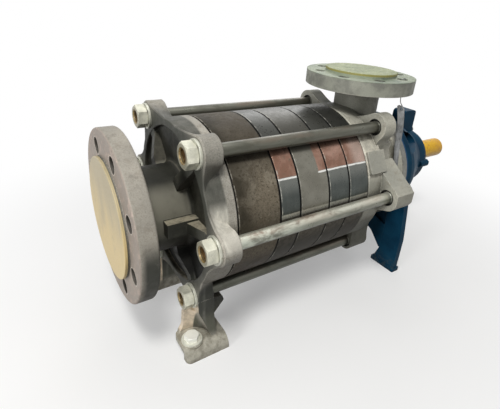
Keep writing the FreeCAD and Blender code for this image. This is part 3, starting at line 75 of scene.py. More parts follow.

# Heights of the painted reflection bands on the stage rings, and places along them
red_reflection_band = (0.0625, 0.1060)
reflected_bright_line = (0.0602, 0.0622)
lower_reflection_band = (0.0090, 0.0150)
paler_reflection_from = 0.3240
reflection_patch_width = 0.018
ring_spigot = 0.004

# Bracket, shaft and floor
bracket_ledge_end = 0.4880
wax_start = 0.6140
sole_level = -0.2
shadow_middle = 0.33


# Node helpers: every material below is put together from these few steps

class Recipe:
    """A material under construction, with its main shader and short names for its steps."""

    def __init__(self, name, rough=0.5, metal=0.0, specular=0.5):
        self.material = bpy.data.materials.new(name)
        self.material.use_nodes = True
        self.tree = self.material.node_tree
        self.shader = self.tree.nodes["Principled BSDF"]
        self.shader.inputs["Roughness"].default_value = rough
        self.shader.inputs["Metallic"].default_value = metal
        self.shader.inputs["Specular IOR Level"].default_value = specular
        self.place = self.add("ShaderNodeTexCoord").outputs["Object"]
        axes = self.add("ShaderNodeSeparateXYZ")
        self.tree.links.new(self.place, axes.inputs[0])
        self.x, self.y, self.z = axes.outputs
        self.normal = None

    def add(self, kind, **settings):
        """A new node of this kind with these settings."""
        node = self.tree.nodes.new(kind)
        for key, value in settings.items():
            setattr(node, key, value)
        return node

    def feed(self, value, socket):
        """Gives a socket a number, a colour or what another node puts out."""
        if isinstance(value, (int, float)):
            socket.default_value = value
        elif isinstance(value, tuple):
            socket.default_value = value + (1.0,)
        else:
            self.tree.links.new(value, socket)

    def scaled(self, x=1.0, y=1.0, z=1.0):
        """Object coordinates stretched along each axis, for streaks and brushed surfaces."""
        node = self.add("ShaderNodeMapping")
        node.inputs["Scale"].default_value = (x, y, z)
        self.tree.links.new(self.place, node.inputs["Vector"])
        return node.outputs["Vector"]

    def noise(self, size, detail=3.0, rough=0.55, vector=None, shift=0.0, twist=0.0):
        """Noise with features of about this size in millimetres."""
        node = self.add("ShaderNodeTexNoise", noise_dimensions="4D")
        node.inputs["Scale"].default_value = 1000.0 / size
        node.inputs["Detail"].default_value = detail
        node.inputs["Roughness"].default_value = rough
        node.inputs["Distortion"].default_value = twist
        node.inputs["W"].default_value = shift
        self.tree.links.new(vector or self.place, node.inputs["Vector"])
        return node.outputs["Fac"]

    def math(self, operation, a, b=0.0, clamp=False):
        """One sum of two values."""
        node = self.add("ShaderNodeMath", operation=operation, use_clamp=clamp)
        self.feed(a, node.inputs[0])
        self.feed(b, node.inputs[1])
        return node.outputs[0]

    def fade(self, value, low, high, out_low=0.0, out_high=1.0):
        """Smooth step of a value between two levels."""
        node = self.add("ShaderNodeMapRange", interpolation_type="SMOOTHSTEP")
        self.feed(value, node.inputs["Value"])
        for key, number in (("From Min", low), ("From Max", high), ("To Min", out_low), ("To Max", out_high)):
            self.feed(number, node.inputs[key])
        return node.outputs["Result"]

    def between(self, value, low, high, blur):
        """1 where a value lies between two levels, fading out over the blur."""
        return self.math("MULTIPLY", self.fade(value, low - blur, low + blur),
                         self.fade(value, high + blur, high - blur))

    def both(self, *masks):
        """Masks multiplied with each other; a plain number among them is an amount."""
        product = masks[0]
        for mask in masks[1:]:
            product = self.math("MULTIPLY", product, mask, clamp=True)
        return product

    def mix(self, factor, a, b):
        """The first colour where the factor is 0, the second where it is 1."""
        node = self.add("ShaderNodeMix", data_type="RGBA")
        self.feed(factor, node.inputs[0])
        self.feed(a, node.inputs[6])
        self.feed(b, node.inputs[7])
        return node.outputs[2]

    def over(self, tone, color, *masks):
        """A colour laid over a tone where every mask lets it through."""
        return self.mix(self.both(*masks), tone, color)

    def least(self, values):
        """The smallest of several values."""
        smallest = values[0]
        for value in values[1:]:
            smallest = self.math("MINIMUM", smallest, value)
        return smallest

    def wavy(self, value, noise, reach):
        """A value that wavers with a noise, over this reach in all."""
        return self.math("ADD", value, self.math("MULTIPLY", self.math("SUBTRACT", noise, 0.5), reach))

    def distance(self, x=None, y=None, z=None):
        """Distance in metres from a line or point; the axis left out is the line's own direction."""
        total = 0.0
        for part, level in zip((self.x, self.y, self.z), (x, y, z)):
            if level is not None:
                off = self.math("SUBTRACT", part, level)
                total = self.math("ADD", total, self.math("MULTIPLY", off, off))
        return self.math("SQRT", total)

    def rounded(self, radius):
        """Direction of the surface with its edges rounded by this radius in millimetres."""
        node = self.add("ShaderNodeBevel", samples=6)
        node.inputs["Radius"].default_value = radius / 1000.0
        return node.outputs["Normal"]

    def edges(self, radius):
        """1 on edges and in corners within this distance in millimetres, 0 on flat ground."""
        dot = self.add("ShaderNodeVectorMath", operation="DOT_PRODUCT")
        self.tree.links.new(self.rounded(radius), dot.inputs[0])
        self.tree.links.new(self.add("ShaderNodeNewGeometry").outputs["Normal"], dot.inputs[1])
        return self.fade(dot.outputs["Value"], 0.995, 0.86)

    def crevices(self, reach):
        """1 deep in corners and narrow gaps within this reach in millimetres, 0 in the open."""
        node = self.add("ShaderNodeAmbientOcclusion", samples=8)
        node.inputs["Distance"].default_value = reach / 1000.0
        return self.fade(node.outputs["AO"], 0.80, 0.25)

    def facing(self, x=0.0, y=0.0, z=0.0):
        """How far the surface faces a fixed direction of the pump, from -1 to 1."""
        dot = self.add("ShaderNodeVectorMath", operation="DOT_PRODUCT")
        self.tree.links.new(self.add("ShaderNodeNewGeometry").outputs["Normal"], dot.inputs[0])
        dot.inputs[1].default_value = (x, y, z)
        return dot.outputs["Value"]

    def soften(self, radius):
        """Rounds the sharp edges of the shading by this radius in millimetres."""
        self.normal = self.rounded(radius)

    def bump(self, height, depth, strength):
        """Relief of this depth in millimetres on top of what is there already."""
        node = self.add("ShaderNodeBump")
        node.inputs["Strength"].default_value = strength
        node.inputs["Distance"].default_value = depth / 1000.0
        self.feed(height, node.inputs["Height"])
        if self.normal is not None:
            self.tree.links.new(self.normal, node.inputs["Normal"])
        self.normal = node.outputs["Normal"]

    def done(self, color, rough=None, metal=None):
        """The finished material with this colour, roughness and share of metal."""
        for key, value in (("Base Color", color), ("Roughness", rough), ("Metallic", metal),
                           ("Normal", self.normal)):
            if value is not None:
                self.feed(value, self.shader.inputs[key])
        return self.material


# Castings

def shade(color, level, red=1.0, green=1.0, blue=1.0):
    """A colour made lighter or darker, kept below white."""
    return tuple(min(0.95, part * level * tint) for part, tint in zip(color, (red, green, blue)))


def cast_skin(r, base, seed, grain=1.0, wear_and_glint=0.45, contrast=1.0):
    """Blasted casting skin: even tone with faint clouds, fine grain, dirt and painted shade in corners, edges
    brightened by rubbing and a painted highlight.
    """
    cloud = r.noise(60.0, 3.0, 0.5, shift=seed)
    mottle = r.noise(9.0 * grain, 5.0, 0.66, shift=seed + 3.0)
    sand = r.noise(1.5 * grain, 3.0, 0.7, shift=seed + 7.0)
    dull = shade(base, 1.0 - 0.26 * contrast, 0.98, 1.0, 1.02)
    tone = r.mix(r.fade(cloud, 0.32, 0.66), dull, shade(base, 1.06))
    brown = shade(base, 0.48, 1.04, 0.96, 0.88)
    tone = r.over(tone, brown, r.fade(mottle, 0.50, 0.70, 0.0, 0.52 * contrast))
    tone = r.over(tone, shade(base, 1.25), r.fade(mottle, 0.42, 0.26, 0.0, 0.30 * contrast))
    tone = r.over(tone, shade(base, 0.38), r.fade(sand, 0.44, 0.70, 0.0, 0.62))
    tone = r.over(tone, shade(base, 1.45), r.fade(sand, 0.42, 0.28, 0.0, 0.30))
    # Dirt and painted shade in corners and narrow gaps, broken up by the mottle
    corner_dirt_and_shade = r.both(r.crevices(24.0), r.fade(mottle, 0.20, 0.55, 0.6, 1.0))
    tone = r.over(tone, (0.024, 0.023, 0.018), corner_dirt_and_shade, 0.7)
    # Edges brightened by rubbing and by a painted highlight
    rubbed_and_glinting_edges = r.both(r.edges(0.9), r.fade(r.noise(6.0, 4.0, 0.6, shift=seed + 1.0), 0.34, 0.62, 0.25, 1.0))
    tone = r.over(tone, shade(base, 2.0), rubbed_and_glinting_edges, wear_and_glint)
    return tone, mottle, sand


def cast_done(r, tone, mottle, sand, depth=1.0):
    """Finished casting material: relief of its skin and the gloss that goes with it."""
    r.soften(0.8)
    r.bump(sand, 0.34 * depth, 0.7)
    r.bump(mottle, 0.75 * depth, 0.45)
    return r.done(tone, rough=r.fade(mottle, 0.3, 0.7, 0.46, 0.62))


def plain_casting(name, base, seed, metal):
    """Casting with no stains but those of its skin."""
    r = Recipe(name, metal=metal)
    return cast_done(r, *cast_skin(r, base, seed))


def rod_distance(r):
    """Distance in metres from the axis of the nearest tie rod."""
    side = r.math("ABSOLUTE", r.y)
    reaches = []
    for beside, above in tie_places:
        off_y = r.math("SUBTRACT", side, beside)
        off_z = r.math("SUBTRACT", r.z, above)
        squares = r.math("ADD", r.math("MULTIPLY", off_y, off_y), r.math("MULTIPLY", off_z, off_z))
        reaches.append(r.math("SQRT", squares))
    return r.least(reaches)


def rod_gap_shadows(r, span, tone):
    """Painted shadow: a dark ring in the casing's face round each tie rod, where the rod leaves its lug."""
    ring = r.both(r.fade(rod_distance(r), 0.0138, 0.0128), r.between(r.x, span[0], span[1], 0.0005))
    return r.over(tone, (0.007, 0.007, 0.006), ring, 0.94)


def suction_neck(r, tone, cloud, mottle):
    """Neck and recess: grease and painted shade, darkest on top of the neck and under it, a painted sheen on
    the neck's flank, paler upward faces on the ribs.
    """
    radius = r.distance(y=0.0, z=0.0)
    upward = r.facing(z=1.0)
    behind = r.between(r.x, grease_and_shade_span[0], grease_and_shade_span[1], 0.0012)
    neck = r.fade(radius, neck_radius + 0.0055, neck_radius)
    # Grease and painted shade over the recess behind the flange
    grease_and_shade = r.mix(r.fade(cloud, 0.35, 0.70), (0.020, 0.021, 0.016), (0.068, 0.068, 0.053))
    tone = r.over(tone, grease_and_shade, behind, r.fade(radius, 0.1235, 0.1125), 0.95)
    # Painted shadow, with grease, on the upward faces of the neck
    tone = r.over(tone, (0.018, 0.018, 0.014), behind, neck, r.fade(upward, 0.35, 0.85), 0.75)
    # Painted sheen: a pale patch on the neck's flank that faces the near side and a little upward
    painted_sheen = r.both(r.fade(r.facing(y=-0.93, z=0.36), 0.74, 0.99), r.fade(cloud, 0.20, 0.55, 0.55, 1.0))
    tone = r.over(tone, (0.235, 0.225, 0.180), painted_sheen, behind, neck, 0.85)
    # Painted shade under the neck, low in the recess
    black = r.both(behind, r.fade(radius, 0.118, 0.108), r.fade(r.z, -0.012, -0.050))
    tone = r.over(tone, (0.010, 0.010, 0.010), black, 0.80)
    # Paler on the upward faces of the ribs
    crest = r.both(behind, r.between(radius, 0.0625, 0.1120, 0.0015), r.fade(upward, 0.55, 0.85))
    return r.over(tone, (0.36, 0.325, 0.24), crest, r.fade(mottle, 0.66, 0.40, 0.40, 1.0))


def suction_wall(r, tone, smear):
    """Lugged end wall: darker front face near the neck, waists with grease and painted shadow, and painted
    light on the flank above the middle lug.
    """
    radius = r.distance(y=0.0, z=0.0)
    ahead = r.facing(x=-1.0)
    # Darker on the front face, most near the neck
    front = r.both(r.between(r.x, wall_front, 0.0880, 0.0012), r.fade(ahead, 0.80, 0.97))
    tone = r.over(tone, (0.085, 0.086, 0.072), front, r.fade(radius, 0.150, 0.118, 0.30, 0.88))
    # Grease and a painted shadow on the upper waists between the lugs
    waist_grease_and_shadow = r.both(r.between(r.x, wall_front, wall_back, 0.002), r.fade(radius, 0.1060, 0.1090),
                   r.fade(radius, 0.150, 0.126, 0.25, 1.0), r.fade(r.z, 0.018, 0.045))
    tone = r.over(tone, (0.060, 0.062, 0.052), waist_grease_and_shadow, r.fade(smear, 0.25, 0.65, 0.97, 0.75))
    # Painted light: a bright patch on the flank above the middle lug
    painted_light_flank = r.both(r.between(r.x, 0.0860, wall_back, 0.002), r.fade(radius, 0.112, 0.118),
                   r.between(r.z, 0.010, 0.046, 0.008), r.fade(ahead, 0.60, 0.25))
    return r.over(tone, (0.84, 0.81, 0.71), painted_light_flank, r.fade(smear, 0.60, 0.35, 0.35, 0.85))


def suction_flange(r, tone, cloud, mottle):
    """Flange: brownish rim, its lower half darker with a greasy stain and painted shade, pinkish face, holes
    darkened inside with oil and painted shade, rubbed burrs with a painted highlight.
    """
    radius = r.distance(y=0.0, z=0.0)
    rim = r.both(r.fade(r.x, flange_back + 0.0002, flange_back - 0.0004), r.fade(radius, 0.082, 0.084))
    tone = r.over(tone, (0.34, 0.305, 0.255), rim, 0.35)
    tone = r.over(tone, (0.120, 0.105, 0.090), rim, r.fade(cloud, 0.54, 0.70, 0.0, 0.55))
    # Greasy stain and painted shade on the lower half of the rim
    low_rim = r.both(rim, r.fade(r.x, 0.001, 0.009), r.fade(r.z, 0.032, -0.008))
    tone = r.over(tone, (0.052, 0.054, 0.045), low_rim, r.fade(cloud, 0.66, 0.46, 0.55, 0.97))
    face = r.both(r.fade(r.x, 0.0020, 0.0010), r.fade(radius, bare_face_from, bare_face_from + 0.0015))
    tone = r.over(tone, (0.33, 0.27, 0.235), face, 0.60)
    tone = r.over(tone, (0.62, 0.50, 0.43), face, r.fade(mottle, 0.50, 0.66, 0.0, 0.55))
    angles = [math.radians(22.5 + 45.0 * turn) for turn in range(8)]
    hole = r.least([r.distance(y=flange_hole_circle * math.cos(angle), z=flange_hole_circle * math.sin(angle))
                    for angle in angles])
    inside = r.both(r.fade(hole, flange_hole_radius + 0.0004, flange_hole_radius - 0.0001),
                    r.between(r.x, -0.001, flange_back + 0.001, 0.0005))
    # Oil and painted shade inside the bolt holes, darker towards the back
    oil_and_shade = r.mix(r.fade(r.x, 0.001, 0.008), (0.085, 0.078, 0.068), (0.020, 0.019, 0.016))
    tone = r.over(tone, oil_and_shade, inside)
    # Rubbed burrs with a painted highlight round the holes' front edges
    burr_and_glint = r.both(r.between(hole, flange_hole_radius, flange_hole_radius + 0.0011, 0.0003),
                  r.fade(r.x, 0.0008, 0.0002))
    return r.over(tone, (0.74, 0.68, 0.60), burr_and_glint, r.fade(cloud, 0.35, 0.55, 0.25, 0.8))


def suction_foot(r, tone, mottle, smear):
    """Leg and foot: leg sides with oil and painted shade, a painted highlight along a ridge, painted shade on
    the web, painted light on the ramp, and a dusty pad.
    """
    side = r.math("ABSOLUTE", r.y)
    leg = r.both(r.between(r.z, -0.176, -0.088, 0.008),
                 r.fade(r.math("ABSOLUTE", r.facing(y=1.0)), 0.30, 0.70),
                 r.fade(r.x, leg_front - 0.001, leg_front + 0.001))
    # Oil and painted shade on the leg's side faces, darkest towards the top
    oil_and_shade = r.mix(r.fade(r.z, -0.128, -0.165), (0.042, 0.045, 0.038), (0.105, 0.107, 0.082))
    tone = r.over(tone, oil_and_shade, leg, 0.93)
    # Painted highlight along a vertical ridge of the leg, patchy
    ridge_highlight = r.both(leg, r.between(r.x, 0.0900, 0.0935, 0.0025))
    tone = r.over(tone, (0.26, 0.26, 0.225), ridge_highlight, r.fade(smear, 0.35, 0.6, 0.15, 0.55))
    # Painted shade on the web below the lower lug
    web = r.both(r.between(r.z, -0.150, -0.108, 0.010), r.fade(r.x, leg_front + 0.001, leg_front - 0.001),
                 r.fade(side, 0.050, 0.054))
    tone = r.over(tone, (0.13, 0.115, 0.095), web, 0.55)
    # Painted light: the ramp below the lower lug made pale, mottled
    ramp = r.both(r.between(r.z, -0.1795, -0.124, 0.004), r.between(side, 0.056, 0.092, 0.001),
                  r.fade(r.x, leg_front + 0.002, leg_front))
    painted_ramp_light = r.mix(r.fade(mottle, 0.35, 0.65), (0.85, 0.72, 0.56), (0.60, 0.51, 0.39))
    tone = r.over(tone, painted_ramp_light, ramp, 0.92)
    grey_dust = r.mix(r.fade(mottle, 0.36, 0.62), (0.52, 0.495, 0.41), (0.28, 0.265, 0.21))
    return r.over(tone, grey_dust, r.fade(r.z, foot_top + 0.0025, foot_top), 0.70)


def suction_casting(name):
    """Suction casing: dark neck and recess with grease and painted shade, stained flange, lugged wall with
    painted light and shadow, foot with painted light, painted shade on downward faces.
    """
    r = Recipe(name, metal=0.12, specular=0.18)
    tone, mottle, sand = cast_skin(r, (0.42, 0.395, 0.34), 0.0, wear_and_glint=0.7)
    cloud = r.noise(30.0, 4.0, 0.6, shift=33.0)
    smear = r.noise(14.0, 4.0, 0.6, vector=r.scaled(1.0, 1.0, 0.35), shift=12.0)
    tone = suction_neck(r, tone, cloud, mottle)
    tone = suction_wall(r, tone, smear)
    tone = suction_flange(r, tone, cloud, mottle)
    tone = suction_foot(r, tone, mottle, smear)
    # Painted shade on downward faces
    tone = r.over(tone, (0.05, 0.045, 0.038), r.fade(r.facing(z=-1.0), 0.2, 0.8), 0.55)
    tone = rod_gap_shadows(r, suction_rod_shadow_span, tone)
    return cast_done(r, tone, mottle, sand)


def discharge_casting(name):
    """Discharge casing: pale beige casting, painted shade on the nozzle neck, the lower part and downward
    faces, a strip of painted light by the last ring, greenish film on the flange top.
    """
    r = Recipe(name, metal=0.12, specular=0.18)
    tone, mottle, sand = cast_skin(r, (0.50, 0.485, 0.41), 20.0, wear_and_glint=0.7)
    cloud = r.noise(30.0, 4.0, 0.6, shift=53.0)
    # Painted shade on the nozzle neck under its flange
    neck = r.both(r.between(r.z, 0.100, 0.1532, 0.004), r.fade(r.distance(x=nozzle_x, y=0.0), 0.064, 0.052))
    tone = r.over(tone, (0.090, 0.092, 0.075), neck, 0.62)
    stain = r.mix(r.fade(cloud, 0.4, 0.6), (0.15, 0.155, 0.135), (0.29, 0.30, 0.25))
    tone = r.over(tone, stain, r.fade(r.z, nozzle_flange_low - 0.003, nozzle_flange_low + 0.003), 0.76)
    film = r.mix(r.fade(cloud, 0.32, 0.60), (0.13, 0.17, 0.12), (0.30, 0.345, 0.25))
    tone = r.over(tone, film, r.fade(r.z, nozzle_flange_top - 0.0012, nozzle_flange_top - 0.0002), 0.80)
    # Painted light: a bright strip on the casing's upper flank next to the last ring
    painted_light_strip = r.both(r.fade(r.x, 0.4030, 0.3970), r.between(r.z, 0.034, 0.106, 0.010),
                          r.fade(r.distance(y=0.0, z=0.0), 0.1240, 0.1215))
    tone = r.over(tone, (0.80, 0.75, 0.63), painted_light_strip, r.fade(mottle, 0.60, 0.38, 0.35, 0.85))
    # Painted shade, darker towards the bottom
    tone = r.over(tone, (0.066, 0.066, 0.053), r.fade(r.z, -0.015, -0.060), 0.80)
    boss = r.both(r.fade(r.facing(y=-1.0), 0.90, 0.99), r.fade(r.y, boss_face + 0.0015, boss_face))
    tone = r.over(tone, (0.235, 0.225, 0.190), boss, 0.40)
    # Painted shade on downward faces
    tone = r.over(tone, (0.05, 0.048, 0.040), r.fade(r.facing(z=-1.0), 0.2, 0.8), 0.5)
    tone = rod_gap_shadows(r, discharge_rod_shadow_span, tone)
    return cast_done(r, tone, mottle, sand)


# Stage rings

def joint_lines(r, span, tone, pale):
    """Bright chamfer at a ring's front end, patchy, from wear and a painted highlight; dark oily chamfer at
    its back end and in the gap.
    """
    black = (0.005, 0.005, 0.005)
    wear_and_glint = r.fade(r.noise(7.0, 4.0, 0.6, shift=17.0), 0.42, 0.64, 0.0, 0.85)
    ahead = r.math("SUBTRACT", r.x, span[0])
    behind = r.math("SUBTRACT", span[1], r.x)
    # Wear and a painted highlight on the front chamfer
    tone = r.over(tone, pale, r.between(ahead, 0.0014, 0.0026, 0.0003), wear_and_glint)
    tone = r.over(tone, black, r.fade(ahead, 0.0013, 0.0009))
    return r.over(tone, black, r.fade(behind, 0.0027, 0.0020), 0.95)


def inlet_ring(name, span):
    """Inlet stage ring: brown mottled casting with soft paler patches and dark specks, painted light across
    the middle, painted shade below and on top, darker near its front end.
    """
    r = Recipe(name, metal=0.08, specular=0.10)
    tone, mottle, sand = cast_skin(r, (0.185, 0.157, 0.116), 60.0, grain=0.9, contrast=1.1)
    cloud = r.noise(40.0, 4.0, 0.6, shift=71.0, twist=0.5)
    fine = r.noise(3.2, 5.0, 0.7, shift=64.0)
    speck = r.noise(1.9, 3.0, 0.7, shift=66.0)
    tone = r.over(tone, (0.275, 0.245, 0.190), r.fade(cloud, 0.53, 0.60, 0.0, 0.40))
    tone = r.over(tone, (0.085, 0.067, 0.046), r.fade(cloud, 0.46, 0.34, 0.0, 0.55))
    tone = r.over(tone, (0.045, 0.035, 0.022), r.fade(fine, 0.50, 0.66, 0.0, 0.80))
    tone = r.over(tone, (0.38, 0.34, 0.26), r.fade(fine, 0.42, 0.30, 0.0, 0.55))
    tone = r.over(tone, (0.030, 0.023, 0.015), r.fade(speck, 0.64, 0.76, 0.0, 0.75))
    # Painted light: a paler band across the middle height
    tone = r.over(tone, (0.30, 0.26, 0.195), r.between(r.z, -0.030, 0.010, 0.008), 0.35)
    # Painted shade, darker towards the bottom
    tone = r.over(tone, (0.034, 0.026, 0.018), r.fade(r.z, -0.030, -0.060, 0.0, 0.88))
    # Painted shadow on the top
    tone = r.over(tone, (0.045, 0.038, 0.028), r.fade(r.z, 0.060, 0.105, 0.0, 0.7))
    # Darker near the front end, blotchy
    darker_front_end = r.both(r.fade(r.math("SUBTRACT", r.x, span[0]), 0.040, 0.006), r.fade(r.z, -0.02, 0.03))
    tone = r.over(tone, (0.030, 0.026, 0.018), darker_front_end, r.fade(cloud, 0.60, 0.40, 0.65, 0.95))
    tone = joint_lines(r, span, tone, (0.34, 0.32, 0.27))
    return cast_done(r, tone, mottle, sand, 0.8)


def painted_reflections(r, tone, height, smear, spots, reflection_start):
    """Painted reflections on the upper flank: a reddish band with stains, from this place along the shaft if
    there is one, over a bright line, with painted shadow at the top.
    """
    # Painted reflection of something reddish above, with stains
    red = r.mix(r.fade(smear, 0.36, 0.68), (0.225, 0.118, 0.080), (0.400, 0.240, 0.185))
    red = r.over(red, (0.150, 0.120, 0.085), r.fade(spots, 0.50, 0.72, 0.0, 0.6))
    red = r.over(red, (0.190, 0.150, 0.115), r.fade(height, 0.086, 0.104, 0.0, 0.6))
    red = r.over(red, (0.58, 0.47, 0.41), r.fade(r.x, paler_reflection_from, paler_reflection_from + 0.016, 0.0, 0.50))
    red_reflection_mask = r.both(r.between(height, red_reflection_band[0], red_reflection_band[1], 0.0009), 0.95)
    line = r.between(height, reflected_bright_line[0], reflected_bright_line[1], 0.0006)
    if reflection_start is not None:
        past = r.fade(r.math("SUBTRACT", r.x, r.wavy(reflection_start, smear, 0.010)), 0.0, 0.0025)
        red_reflection_mask = r.both(red_reflection_mask, past)
        line = r.both(line, past)
    tone = r.over(tone, red, red_reflection_mask)
    # Painted shadow at the top of the ring
    tone = r.over(tone, (0.035, 0.034, 0.029), r.fade(height, 0.090, 0.106, 0.0, 0.8))
    # Painted reflection: a bright line under the reddish band
    return r.over(tone, (0.88, 0.88, 0.84), line, r.fade(smear, 0.25, 0.5, 0.5, 0.95))


def turned_ring(name, span, seed, reflection_start=None):
    """Turned casing ring: tool marks and stains under painted reflections, a reddish band high up, bright
    lines and a blue-grey band lower down, painted shade underneath.
    """
    r = Recipe(name, specular=0.15)
    tool = r.noise(0.55, 2.0, 0.6, vector=r.scaled(1.0, 0.012, 0.012), shift=seed)
    lay = r.noise(5.0, 3.0, 0.6, vector=r.scaled(1.0, 0.05, 0.05), shift=seed + 4.0)
    smear = r.noise(24.0, 4.0, 0.6, shift=seed + 2.0, twist=0.4)
    spots = r.noise(6.0, 5.0, 0.7, shift=seed + 5.0)
    height = r.wavy(r.z, smear, 0.0022)
    if reflection_start is None:
        # Painted reflections: a blue-grey band, lighter towards the bright line, darker low down
        tone = r.mix(r.fade(smear, 0.35, 0.70), (0.060, 0.068, 0.063), (0.084, 0.095, 0.089))
        tone = r.over(tone, (0.120, 0.128, 0.120), r.fade(lay, 0.35, 0.68, 0.0, 0.25))
        tone = r.over(tone, (0.225, 0.230, 0.210), r.fade(height, 0.036, 0.058, 0.0, 0.55))
        tone = r.over(tone, (0.060, 0.068, 0.062), r.fade(height, 0.034, 0.004, 0.0, 0.40))
    else:
        tone = r.mix(r.fade(smear, 0.35, 0.70), (0.165, 0.158, 0.130), (0.225, 0.217, 0.182))
        tone = r.over(tone, (0.175, 0.170, 0.143), r.fade(height, 0.060, 0.015, 0.0, 0.35))
    tone = painted_reflections(r, tone, height, smear, spots, reflection_start)
    # Painted reflection: a second bright line lower down
    lower_reflection_mask = r.between(height, lower_reflection_band[0], lower_reflection_band[1], 0.0010)
    tone = r.over(tone, (0.58, 0.57, 0.50), lower_reflection_mask, r.fade(spots, 0.68, 0.45, 0.45, 0.90))
    # Painted reflection and shade below the lower line
    below = r.fade(height, 0.010, 0.007)
    dull = r.mix(r.fade(spots, 0.40, 0.62), (0.165, 0.145, 0.110), (0.075, 0.064, 0.048))
    tone = r.over(tone, dull, below, 0.85)
    # Painted shade, darker towards the bottom
    tone = r.over(tone, (0.034, 0.031, 0.025), r.fade(r.z, -0.012, -0.050, 0.0, 0.86))
    tone = r.over(tone, (0.075, 0.060, 0.042), r.fade(spots, 0.60, 0.78, 0.0, 0.35))
    # Painted shade in corners and gaps
    tone = r.over(tone, (0.02, 0.018, 0.015), r.crevices(12.0), 0.6)
    tone = joint_lines(r, span, tone, (0.42, 0.41, 0.36))
    r.soften(0.5)
    r.bump(tool, 0.018, 0.5)
    r.bump(smear, 0.25, 0.10)
    gloss = r.fade(spots, 0.35, 0.7, 0.26, 0.42)
    return r.done(tone, rough=r.fade(below, 0.0, 1.0, gloss, 0.6),
                  metal=r.fade(r.z, 0.005, -0.040, 0.55, 0.0))


# Plain metals, rods, nuts, paint, coatings, covers and rubber

def plain_metal(name, pale, dark, rough, seed=0.0, metal=1.0, stain=None):
    """Metal surface with a fine grain, light staining and brighter edges."""
    r = Recipe(name, metal=metal)
    grain = r.noise(1.2, 3.0, 0.6, shift=seed)
    cloud = r.noise(18.0, 4.0, 0.6, shift=seed + 4.0, twist=0.5)
    tone = r.mix(r.fade(cloud, 0.34, 0.68), dark, pale)
    tone = r.over(tone, tuple(min(1.0, part * 1.35) for part in pale), r.fade(grain, 0.3, 0.7, 0.0, 0.25))
    if stain is not None:
        spots = r.noise(9.0, 5.0, 0.7, shift=seed + 9.0)
        tone = r.over(tone, stain, r.fade(spots, 0.60, 0.72, 0.0, 0.8))
    tone = r.over(tone, tuple(min(1.0, part * 1.6 + 0.05) for part in pale), r.edges(0.7), 0.6)
    r.soften(0.4)
    r.bump(grain, 0.03, 0.6)
    return r.done(tone, rough=r.fade(cloud, 0.3, 0.7, rough[1], rough[0]))


def zinc_rod(name):
    """Zinc plated rod: greenish grey streaks, painted highlight and pinkish painted reflection on the upper
    side, painted shade below, painted shadow with grime on the top rod, rusty thread end inside the nut.
    """
    r = Recipe(name, metal=0.60, specular=0.4)
    streak = r.noise(3.5, 4.0, 0.65, vector=r.scaled(0.10, 1.0, 1.0))
    blotch = r.noise(16.0, 5.0, 0.65, vector=r.scaled(0.45, 1.0, 1.0), shift=3.0, twist=0.4)
    pink_reflection_noise = r.noise(34.0, 4.0, 0.6, vector=r.scaled(0.35, 1.0, 1.0), shift=8.0)
    upward = r.fade(r.facing(z=1.0), 0.20, 0.85)
    middle = r.between(r.z, -0.030, 0.030, 0.004)
    tone = r.mix(r.fade(streak, 0.30, 0.72), (0.175, 0.180, 0.145), (0.30, 0.305, 0.255))
    tone = r.over(tone, (0.110, 0.108, 0.085), r.fade(blotch, 0.52, 0.72, 0.0, 0.60))
    # Painted highlight on the upward side
    tone = r.over(tone, (0.40, 0.405, 0.34), upward, r.fade(blotch, 0.62, 0.40, 0.0, 0.8))
    # Painted reflection: pinkish on the upward side
    tone = r.over(tone, (0.37, 0.265, 0.205), upward, r.fade(pink_reflection_noise, 0.46, 0.62, 0.0, 0.60))
    fresh = r.both(r.fade(r.x, 0.235, 0.150), middle, r.fade(blotch, 0.60, 0.45))
    tone = r.over(tone, (0.62, 0.66, 0.56), fresh, 0.75)
    # Painted highlight along the top of the middle rod
    tone = r.over(tone, (0.66, 0.66, 0.56), upward, middle, r.fade(blotch, 0.66, 0.46), 0.60)
    # Painted shade on the downward side
    tone = r.over(tone, (0.045, 0.045, 0.036), r.fade(r.facing(z=1.0), -0.2, -0.8, 0.0, 0.7))
    # Painted shadow with grime on the top rod
    tone = r.over(tone, (0.045, 0.042, 0.030), r.fade(r.z, 0.060, 0.080, 0.0, 0.66))
    # Painted shade on the lowest rod
    tone = r.over(tone, (0.060, 0.061, 0.046), r.fade(r.z, -0.080, -0.100, 0.0, 0.72))
    rust = r.mix(r.fade(blotch, 0.4, 0.6), (0.075, 0.038, 0.016), (0.20, 0.115, 0.045))
    tone = r.over(tone, rust, r.fade(r.x, rusty_thread_end, rusty_thread_end - 0.0004))
    r.bump(streak, 0.05, 0.5)
    r.bump(blotch, 0.10, 0.25)
    return r.done(tone, rough=r.fade(blotch, 0.3, 0.7, 0.26, 0.44))


